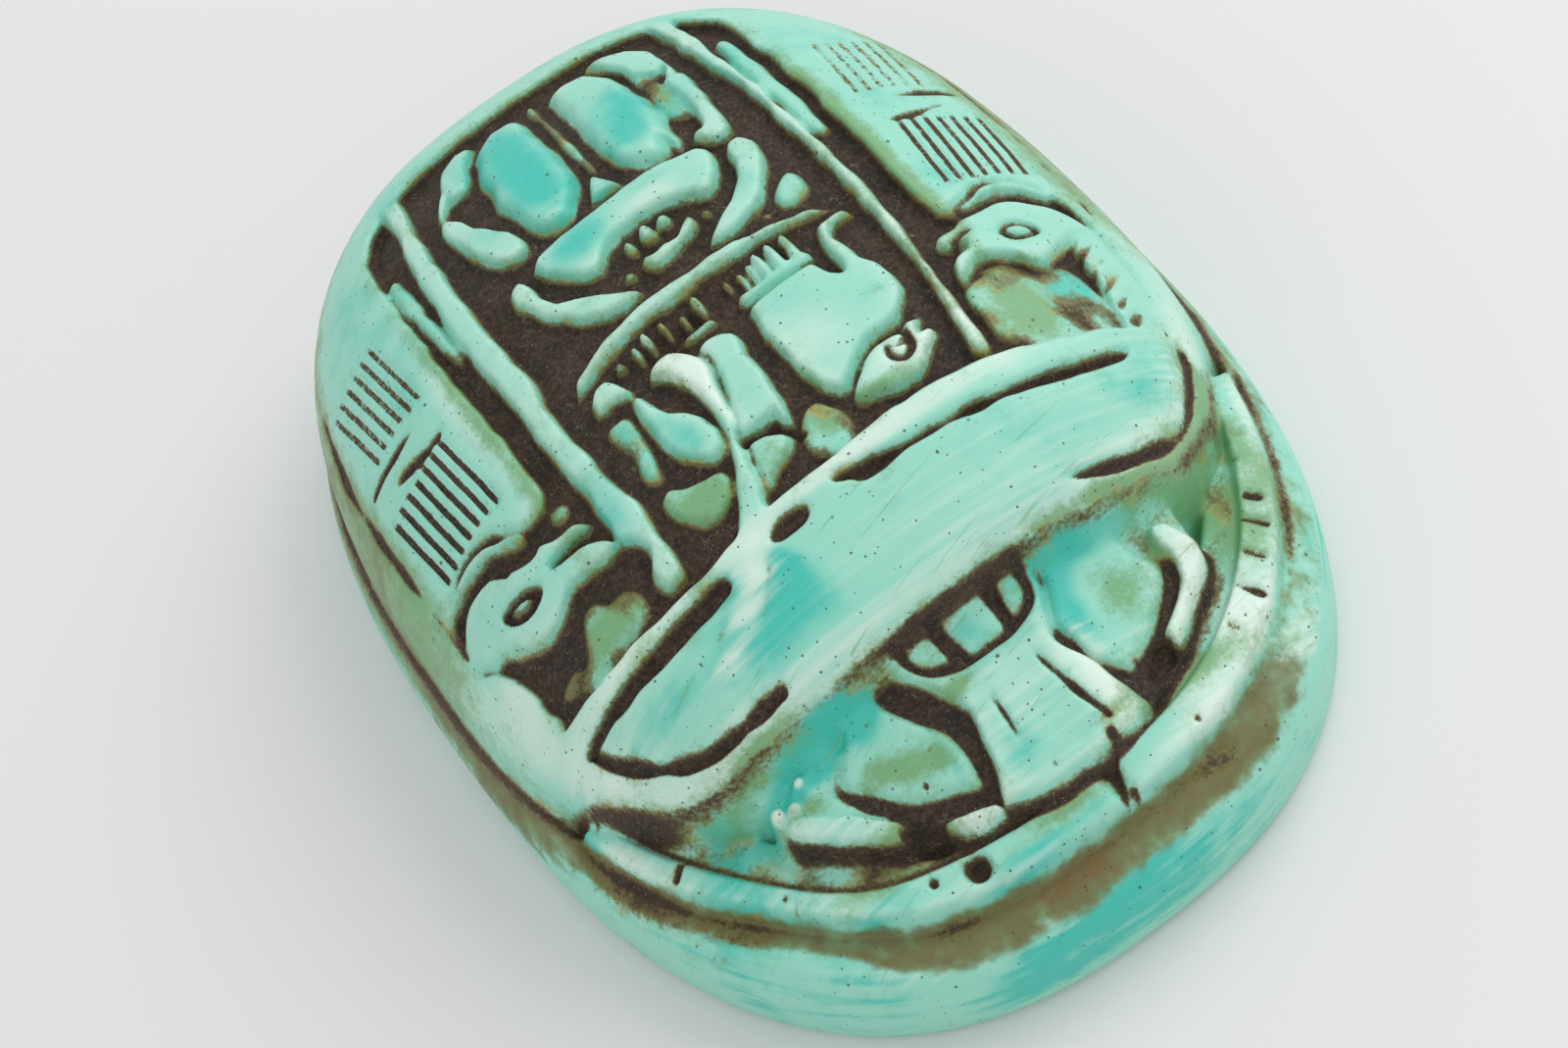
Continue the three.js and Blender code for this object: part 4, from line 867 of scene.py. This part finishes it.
# A square net pressed into the plinth's oval, x = side u (1 - |v|^p / 2)^(1/p) and y the same with u and
# v changed over, then settled: each point moves to the mean of its four neighbours, weighted by how steep
# the surface is, so that the carving's walls get more of the net.
def planGrid(edgeShare):
    power = amulet["plinthPower"]
    dy, dx = np.gradient(heights, pitch)
    slope = np.hypot(dx, dy)
    dy, dx = np.gradient(blurred(heights, 0.1) - blurred(heights, 0.5), pitch)
    sy, sx = np.gradient(blurred(stainsAndShade, 0.15), pitch)
    need = (1 + 2.2 * np.minimum(blurred(np.hypot(dx, dy), 0.3) * 2, 1.3)
            + 0.8 * np.minimum(blurred(slope, 0.1), 2.5)
            + 1.8 * np.minimum(blurred(np.hypot(sx, sy), 0.25), 1.2))
    need = blurred(np.minimum(need, 6), 0.1)
    x = y = None
    for coarseness in (8, 4, 2, 1):
        u = np.linspace(-1, 1, amulet["quadsAcross"] // coarseness + 1)
        v = np.linspace(-1, 1, amulet["quadsAlong"] // coarseness + 1)
        netX = edgeShare * amulet["width"] / 2 * u * (1 - np.abs(v[:, None]) ** power / 2) ** (1 / power)
        netY = edgeShare * amulet["length"] / 2 * v[:, None] * (1 - np.abs(u) ** power / 2) ** (1 / power)
        if x is not None:
            netX[1:-1, 1:-1] = doubled(x, netX.shape)[1:-1, 1:-1]
            netY[1:-1, 1:-1] = doubled(y, netY.shape)[1:-1, 1:-1]
        x, y = netX, netY
        field = blurred(need, 0.08 * coarseness)
        for _ in range(amulet["settleSteps"]):
            weight = sampled(field, x, y)
            across = (weight[:, 1:] + weight[:, :-1]) / 2
            along = (weight[1:] + weight[:-1]) / 2
            east, west = across[1:-1, 1:], across[1:-1, :-1]
            north, south = along[1:, 1:-1], along[:-1, 1:-1]
            total = east + west + north + south
            for place in (x, y):
                place[1:-1, 1:-1] = (east * place[1:-1, 2:] + west * place[1:-1, :-2]
                                     + north * place[2:, 1:-1] + south * place[:-2, 1:-1]) / total
    return x, y


# The side from the net's edge down to the underside's middle, as shares of the oval and heights.
def rimProfile(edgeShare):
    half = amulet["width"] / 2
    inward, down = amulet["topRound"]
    footIn, footUp = amulet["footRound"]
    start = math.acos(1 - (1 - edgeShare) * half / inward)
    top = [(1 - inward * (1 - math.cos(a)) / half, amulet["plinthHeight"] - down * (1 - math.sin(a)))
           for a in np.linspace(start, 0, 5)[1:]]
    sideTop = amulet["plinthHeight"] - down
    side = [(1, z) for z in np.linspace(sideTop, footUp, 3)[1:]]
    foot = [(1 - footIn * (1 - math.cos(a)) / half, footUp * (1 - math.sin(a)))
            for a in np.linspace(0, math.pi / 2, 4)[1:]]
    under = (foot[-1][0] * amulet["underRing"], 0.0)
    return np.array(top + side + foot + [under])


# The net raised by the height map, the bands of its side below it, and a fan to the underside's middle.
def amuletMesh():
    edgeShare = amulet["netEdge"]
    x, y = planGrid(edgeShare)
    z = sampled(heights, x, y)
    rows, columns = x.shape
    index = np.arange(rows * columns).reshape(rows, columns)
    edge = np.concatenate([index[0, :-1], index[:-1, -1], index[-1, :0:-1], index[:0:-1, 0]])
    edgeX, edgeY = x.ravel()[edge], y.ravel()[edge]
    z.ravel()[edge] = plinthTop(plinthShare(edgeX, edgeY))
    profile = rimProfile(edgeShare)
    wallX = edgeX[None, :] * profile[:, :1] / edgeShare
    wallY = edgeY[None, :] * profile[:, :1] / edgeShare
    wallZ = np.repeat(profile[:, 1:], len(edge), 1)
    points = np.vstack([np.stack([x.ravel(), y.ravel(), z.ravel()], 1),
                        np.stack([wallX.ravel(), wallY.ravel(), wallZ.ravel()], 1), [[0, 0, 0]]])
    quads = np.stack([index[:-1, :-1], index[:-1, 1:], index[1:, 1:], index[1:, :-1]], -1).reshape(-1, 4)
    rings = np.vstack([edge, rows * columns + np.arange(wallX.size).reshape(wallX.shape)])
    following = np.roll(rings, -1, 1)
    bands = np.stack([rings[:-1], rings[1:], following[1:], following[:-1]], -1).reshape(-1, 4)
    centre = len(points) - 1
    fan = np.stack([following[-1], rings[-1], np.full(len(edge), centre)], -1)
    return points, quads, bands, fan


print("netting the surface")
points, quads, bands, fan = amuletMesh()
faceSizes = np.concatenate([np.full(len(quads) + len(bands), 4), np.full(len(fan), 3)])
corners = np.concatenate([quads.ravel(), bands.ravel(), fan.ravel()])
toFrame = (np.array(high) - np.array(low)) / [amulet[name] for name in ("width", "length", "height")]
mesh = bpy.data.meshes.new("scarabAmulet")
mesh.vertices.add(len(points))
mesh.vertices.foreach_set("co", (points * toFrame).astype(np.float32).ravel())
mesh.loops.add(len(corners))
mesh.loops.foreach_set("vertex_index", corners.astype(np.int32))
mesh.polygons.add(len(faceSizes))
mesh.polygons.foreach_set("loop_start", np.concatenate([[0], np.cumsum(faceSizes)[:-1]]).astype(np.int32))
mesh.polygons.foreach_set("use_smooth", np.ones(len(faceSizes), bool))
mesh.update(calc_edges=True)
mesh.validate()


# What the glaze reads at each point of the surface, with its least and most.
def surfaceFields(x, y, z, onTop):
    share = plinthShare(x, y)
    bodyShare = domeHeight(x, y)[1]
    inFront, above = softStep(-y, 8, 13), z > 3
    hollow = sampled(blurred(heights, 0.9) - heights, x, y) * onTop
    washedEarth = washed("earth", x, y)
    beyond = (ringShare(x, y) - 1) * amulet["ringFront"]            # millimetres outside the arms
    spread = 1.6 - 1.1 * softStep(-x, 9, 16) - 0.5 * softStep(x, 14, 18)       # of the dirt there
    ledge = softStep(beyond, -0.25, 0.15) * (1 - softStep(beyond, spread, spread + 1.1)) * inFront * above
    foot = softStep(bodyShare, 0.99, 1.02) * (1 - softStep(bodyShare, 1.05, 1.11)) * above * (1 - inFront)
    atRight = softStep(x, 5, 12)
    # Painted shade, partly green glaze: a greenish brown band down the dome's lower side, where that side
    # wall lies in shadow. It goes into the green and earth channels.
    sideShadeBand = (softStep(bodyShare, 0.87 - 0.04 * atRight, 0.955) * (1 - softStep(bodyShare, 1, 1.02))
              * softStep(y + 5 * atRight, -4, 6) * onTop)
    # The stain read here also carries the painted shade on the wall under the prothorax's corners.
    stain, fringe, halo = (sampled(blurred(stainsAndShade, radius), x, y) * onTop for radius in (0.09, 0.25, 0.7))
    return {
        "stain": (stain, 0, 1),
        "fringe": (fringe * (1 - 0.45 * softStep(-y, 11, 15)), 0, 1),
        "halo": (halo, 0, 1),
        "worn": ((washed("pale", x, y) - hollow * 1.2) * onTop, 0, 2),
        "glaze": (washed("glaze", x, y) * (z > 1), 0, 1),
        "amberAndHighlight": (washed("amberAndHighlight", x, y) * onTop, 0, 1),
        "green": ((washed("green", x, y) + 0.6 * sampled(tinges, x, y)) * onTop + 0.5 * foot + 0.85 * sideShadeBand,
                  0, 1),
        "earth": (ledge * (0.7 - 0.4 * softStep(x, 9, 14) + 0.3 * np.minimum(washedEarth, 1))
                  + foot * washedEarth + 0.45 * sideShadeBand, 0, 1),
        "plinth": (softStep(share, 0.93, 0.97), 0, 1),
        "rubbed": ((0.2 + 0.8 * softStep(-y, 10, 12)) * onTop, 0, 1),
        "rust": (washed("rust", x, y) * above, 0, 1),
        "around": (np.arctan2(y, x * amulet["length"] / amulet["width"]) * 2.5, -10, 10),
        "across": ((share * 22 + np.maximum(amulet["plinthHeight"] - z, 0)) / 10, 0, 10),
    }


onTop = np.arange(len(points)) < len(points) - 1 - len(bands)
for name, (values, least, most) in surfaceFields(*points.T, onTop).items():
    written = np.clip(values, least, most).astype(np.float32)
    mesh.attributes.new(name, "FLOAT", "POINT").data.foreach_set("value", written)

scarab = bpy.data.objects.new("scarabAmulet", mesh)
bpy.context.scene.collection.objects.link(scarab)
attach(scarab, "root")
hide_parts("scarab_amulet")

# A quad is folded over where the cross product of its diagonals is below 0, seen from above
corner = points[quads, :2]
spans = corner[:, 2] - corner[:, 0], corner[:, 3] - corner[:, 1]
folds = int((spans[0][:, 0] * spans[1][:, 1] < spans[0][:, 1] * spans[1][:, 0]).sum())
print("amulet has", int((faceSizes - 2).sum()), "triangles, of which folded over", folds)


# A socket of a shader, on which sums can be written.
class Socket:

    def __init__(self, tree, socket):
        self.tree, self.socket = tree, socket

    def make(self, kind, settings=None, inputs=None, output=0):
        node = self.tree.nodes.new(kind)
        for name, value in (settings or {}).items():
            setattr(node, name, value)
        for name, value in (inputs or {}).items():
            if isinstance(value, Socket):
                self.tree.links.new(value.socket, node.inputs[name])
            else:
                node.inputs[name].default_value = value
        return Socket(self.tree, node.outputs[output]) if node.outputs else None

    def math(self, operation, first, second):
        return self.make("ShaderNodeMath", {"operation": operation}, {0: first, 1: second})

    def __add__(self, other):
        return self.math("ADD", self, other)

    __radd__ = __add__

    def __sub__(self, other):
        return self.math("SUBTRACT", self, other)

    def __rsub__(self, other):
        return self.math("SUBTRACT", other, self)

    def __mul__(self, other):
        return self.math("MULTIPLY", self, other)

    def fromWhole(self):                # how far this is from the nearest whole number
        part = self.math("FRACT", self + 0.5, 0.0) - 0.5
        return self.math("ABSOLUTE", part, 0.0)

    def step(self, start, end):
        settings = {"interpolation_type": "SMOOTHSTEP"}
        return self.make("ShaderNodeMapRange", settings, {"Value": self, "From Min": start, "From Max": end})

    def stained(self, colour, mask):    # this colour, with another laid over it through a mask
        return self.make("ShaderNodeMix", {"data_type": "RGBA"}, {0: mask, 6: self, 7: colour}, 2)


glazeLook = {  # linear colours, each laid over the ones before it
    "mint": (0.31, 0.72, 0.58, 1), "turquoise": (0.055, 0.56, 0.46, 1), "worn": (0.66, 0.86, 0.74, 1),
    "bare": (0.8, 0.93, 0.84, 1), "green": (0.16, 0.37, 0.13, 1), "moss": (0.17, 0.24, 0.07, 1),
    "earth": (0.15, 0.115, 0.035, 1), "rust": (0.17, 0.08, 0.012, 1), "amberAndHighlight": (0.5, 0.4, 0.1, 1),
    "olive": (0.15, 0.13, 0.03, 1), "brown": (0.075, 0.043, 0.022, 1), "dark": (0.018, 0.012, 0.010, 1),
    "dustAndGlints": (0.36, 0.31, 0.22, 1), "pore": (0.05, 0.04, 0.018, 1),
    "roughness": 0.4, "stainRoughness": 0.35, "specular": 0.45, "bump": 0.55, "bumpDepth": 0.00006,
    "scratchTurn": -0.24, "barbStain": 0.78,
}


# The dark lines of the feathers, drawn finer than the net can carry them: how near |x| lies to a line of
# the row, which leans outward with y, within the row's own ends.
def featherBarbs(place, stray):
    across, along, up = (place.make("ShaderNodeSeparateXYZ", {}, {0: place}, axis) for axis in range(3))
    side = across.math("ABSOLUTE", across, 0.0)
    total = 0.0
    for bottom, top, count, depth in featherRows:
        turn = (side - featherFrom - (along - bottom) * (featherSlant / (top - bottom))) * (1 / featherPitch)
        line = (turn + stray * 0.3).fromWhole().step(0.3, 0.14)
        line = line * turn.step(-0.4, -0.3) * turn.step(count - 0.6, count - 0.7)
        ends = (along + stray).step(bottom - 0.1, bottom + 0.3)
        ends = ends * (along + stray * 2.0).step(top + 0.2, top - 0.5)
        total = total + line * ends * (glazeLook["barbStain"] * depth)
    return total * up.step(6.0, 7.0) * (1.0 + stray * 1.2 - across.step(-1.0, 1.0) * 0.2)


# Turquoise wax over pale cast stone, stained dark in the carving, with a little painted shade, painted
# highlight and painted glint in its colours.
def glazedCast():
    material = bpy.data.materials.new("glazedCast")
    material.use_nodes = True
    tree = material.node_tree
    tree.nodes.clear()
    root = Socket(tree, None)
    place = root.make("ShaderNodeTexCoord", output="Object")
    place = root.make("ShaderNodeVectorMath", {"operation": "SCALE"}, {0: place, "Scale": 1000.0})

    def attribute(name):
        return root.make("ShaderNodeAttribute", {"attribute_name": name}, output="Fac")

    def noise(scale, detail=2.0, stretch=(1, 1, 1), turn=0.0, start=0.0, spot=place):
        spot = root.make("ShaderNodeMapping", {}, {"Vector": spot, "Location": (start, 0, 0),
                                                   "Rotation": (0, 0, turn), "Scale": stretch})
        return root.make("ShaderNodeTexNoise", {}, {"Vector": spot, "Scale": scale, "Detail": detail})

    def dots(scale, rarity, size, warp=0.0):    # specks, one to a cell, in the cells that chance picks
        away = root.make("ShaderNodeTexVoronoi", {}, {"Vector": place, "Scale": scale}) + 0.04
        chance = root.make("ShaderNodeTexVoronoi", {}, {"Vector": place, "Scale": scale}, output=1)
        chance = root.make("ShaderNodeSeparateColor", {}, {0: chance})
        return ((chance - rarity) * size - away + warp).step(0.0, 0.05)

    broad, speck = noise(0.16), noise(12.0)
    patchy, blotchy, fine = noise(0.6, 3.0), noise(1.5, 3.0), noise(4.0, 3.0)
    fringe, halo, worn = attribute("fringe"), attribute("halo"), attribute("worn")
    earth, rust, plinth = attribute("earth"), attribute("rust"), attribute("plinth")
    rubbed = (noise(1.0, 3.0, (0.1, 2.6, 0.4), 0.2) - 0.5) * attribute("rubbed")
    brushing = {0: attribute("around") * 2.0, 1: attribute("across") * 14.0}
    brushed = noise(1.0, 4.0, spot=root.make("ShaderNodeCombineXYZ", {}, brushing)) - 0.5
    turned = {"Vector": place, "Rotation": (0, 0, glazeLook["scratchTurn"])}
    swept = root.make("ShaderNodeMapping", {}, turned)
    scratch = noise(1.0, 1.0, (0.09, 6.0, 0.5), start=3.0, spot=swept).step(0.66, 0.72)
    curve = noise(0.8, 1.0, start=7.0) - 0.5
    hairs = (0.000035 - curve * curve).step(0.0, 0.00002) * noise(0.9, start=31.0).step(0.55, 0.62)
    # Dust specks and hairs, partly painted glints: pale specks laid over the dark stain.
    dustAndGlints = dots(7.5, 0.6, 1.1) * (blotchy - 0.2).step(0.2, 0.4) + hairs * 0.7
    warped = (fine - 0.5) * 0.25
    pores = (dots(1.3, 0.66, 0.6, warped) * (patchy + worn * 0.1).step(0.4, 0.5)
             + dots(3.4, 0.6, 0.75, warped) * (0.6 + worn) + dots(2.4, 0.66, 0.6, warped) * earth)

    rough = (blotchy - 0.5) * 0.3 + (fine - 0.5) * 0.5 + (speck - 0.5) * 0.25
    barbs = featherBarbs(place, (fine - 0.5) * 0.25 + (patchy - 0.5) * 0.3)
    # The stain channel also carries painted shade, on the wall under the prothorax's corners.
    stain = attribute("stain") + barbs + rough * 0.8
    edging = stain + fringe * 0.45
    glazed = attribute("glaze") + (broad - 0.5) * 1.6 + (patchy - 0.5) * 0.9 + brushed * plinth * 2.4 + 0.08
    green = (attribute("green") * 0.95 + halo * 0.95 + fringe * 0.4 + barbs * 0.5
             + (patchy - 0.5) * 0.9 + (blotchy - 0.5) * 0.6 + (fine - 0.5) * 0.6 + (speck - 0.5) * 0.4
             + plinth * (0.12 - brushed * 0.9))
    scratched = scratch * attribute("rubbed") * (patchy - 0.1).step(0.3, 0.5)
    # The earth channel also brings the painted shade of the dome's lower side into the moss and earth
    # colours.
    mossy = earth * 1.15 + fringe * 0.9 + (patchy - 0.5) * 0.7 + (blotchy - 0.5) * 0.6
    earthy = earth * 0.9 + (patchy - 0.5) * 1.1 + (blotchy - 0.5) * 0.5 + rust * 0.2
    rusty = rust * 0.8 + earth * 0.2 + (blotchy - 0.5) * 0.9 + (patchy - 0.5) * 0.5
    # Amber is the ochre edge of the stain, and painted highlight where the left bar's right edge and the left
    # arm's inner rim face the light.
    amberAndHighlight = (patchy + blotchy * 0.5 + attribute("amberAndHighlight") * 0.25 - earth * 0.25).step(0.76, 0.95)
    amberAndHighlight = edging.step(0.16, 0.4) * amberAndHighlight
    brown = (stain + rust * 0.1).step(0.42, 0.6)
    dark = stain.step(0.55, 0.9) * (fine + speck * 0.8 + (patchy - 0.5) * 0.5).step(0.6, 1.1)
    base = root.make("ShaderNodeMix", {"data_type": "RGBA"},
                     {0: glazed.step(0.1, 0.95), 6: glazeLook["mint"], 7: glazeLook["turquoise"]}, 2)
    for name, mask in (("worn", (worn + rubbed * 1.3 - 0.05).step(0.1, 1.0) * 0.85),
                       ("bare", (worn + rubbed * 0.5).step(0.95, 1.5) * 0.7),
                       ("green", green.step(0.22, 1.05) * 0.85),
                       ("green", scratched * 0.4),
                       ("moss", mossy.step(0.3, 0.85) * 0.85),
                       ("earth", earthy.step(0.32, 0.85) * 0.8),
                       ("rust", rusty.step(0.4, 1.0) * 0.6),
                       ("amberAndHighlight", amberAndHighlight * (0.75 - attribute("rubbed") * 0.3)),
                       ("olive", edging.step(0.3, 0.58) * 0.9),
                       ("brown", brown * (speck * 0.5 + 0.75)),
                       ("dark", dark),
                       ("dustAndGlints", dustAndGlints * brown * 0.5),
                       ("pore", (pores * (1.0 - brown)).step(0.0, 1.0) * 0.8)):
        base = base.stained(glazeLook[name], mask)
    relief = fine * 0.5 + speck * (0.3 + brown * 0.9) - pores + rubbed * 0.4
    bump = root.make("ShaderNodeBump", {}, {"Height": relief, "Strength": glazeLook["bump"],
                                            "Distance": glazeLook["bumpDepth"]})
    roughness = glazeLook["roughness"] + brown * glazeLook["stainRoughness"] + (fine - 0.5) * 0.15
    surface = {"Base Color": base, "Roughness": roughness, "Normal": bump,
               "Specular IOR Level": glazeLook["specular"]}
    shader = root.make("ShaderNodeBsdfPrincipled", {}, surface)
    root.make("ShaderNodeOutputMaterial", {}, {"Surface": shader})
    return material


mesh.materials.append(glazedCast())


# Studio: pale floor, soft light and the camera

studio = {
    "floorSize": 3.0, "floorColour": (0.8, 0.8, 0.8, 1), "floorRoughness": 0.6, "worldStrength": 0.72,
    "lights": [("key", (0.4, 0.12, 0.4), 0.45, 1.4), ("fill", (-0.35, -0.4, 0.45), 0.6, 0.25)],
    "azimuth": -12.3543, "elevation": 54.8602, "roll": -25.3985, "distance": 0.159385,
    "lens": 70.884, "sensor": 36, "aim": (-0.0014326, -0.0000568),     # the picture's middle, right and up
}


def buildStudio():
    half = studio["floorSize"] / 2
    floorMesh = bpy.data.meshes.new("floor")
    floorMesh.from_pydata([(-half, -half, 0), (half, -half, 0), (half, half, 0), (-half, half, 0)], [],
                          [(0, 1, 2, 3)])
    floor = bpy.data.objects.new("floor", floorMesh)
    paint = bpy.data.materials.new("floorPaint")
    paint.use_nodes = True
    shader = paint.node_tree.nodes["Principled BSDF"]
    shader.inputs["Base Color"].default_value = studio["floorColour"]
    shader.inputs["Roughness"].default_value = studio["floorRoughness"]
    floorMesh.materials.append(paint)
    bpy.context.scene.collection.objects.link(floor)
    world = bpy.data.worlds.new("studio")
    world.use_nodes = True
    sky = world.node_tree.nodes["Background"]
    sky.inputs["Color"].default_value = (1, 1, 1, 1)
    sky.inputs["Strength"].default_value = studio["worldStrength"]
    bpy.context.scene.world = world
    bpy.context.scene.view_settings.view_transform = "Standard"
    for name, place, size, power in studio["lights"]:
        light = bpy.data.lights.new(name, "AREA")
        light.size, light.energy = size, power
        lamp = bpy.data.objects.new(name, light)
        lamp.location = place
        lamp.rotation_euler = (-Vector(place)).to_track_quat("-Z", "Y").to_euler()
        bpy.context.scene.collection.objects.link(lamp)


# The camera looks back along azimuth and elevation, turned by roll, at the picture's middle.
def placeCamera():
    azimuth, elevation, roll = (math.radians(studio[k]) for k in ("azimuth", "elevation", "roll"))
    back = Vector((math.sin(azimuth) * math.cos(elevation), -math.cos(azimuth) * math.cos(elevation),
                   math.sin(elevation)))
    level = Vector((math.cos(azimuth), math.sin(azimuth), 0))
    upright = back.cross(level)
    right = math.cos(roll) * level + math.sin(roll) * upright
    up = -math.sin(roll) * level + math.cos(roll) * upright
    place = back * studio["distance"]
    aim = studio["aim"][0] * right + studio["aim"][1] * up
    zAxis = (place - aim).normalized()
    xAxis = (right - right.dot(zAxis) * zAxis).normalized()
    yAxis = zAxis.cross(xAxis)
    data = bpy.data.cameras.new("camera")
    data.sensor_width, data.lens, data.clip_start = studio["sensor"], studio["lens"], 0.01
    camera = bpy.data.objects.new("camera", data)
    camera.matrix_world = Matrix.Translation(place) @ Matrix((xAxis, yAxis, zAxis)).transposed().to_4x4()
    bpy.context.scene.collection.objects.link(camera)
    bpy.context.scene.camera = camera


print("building the studio")
buildStudio()
placeCamera()
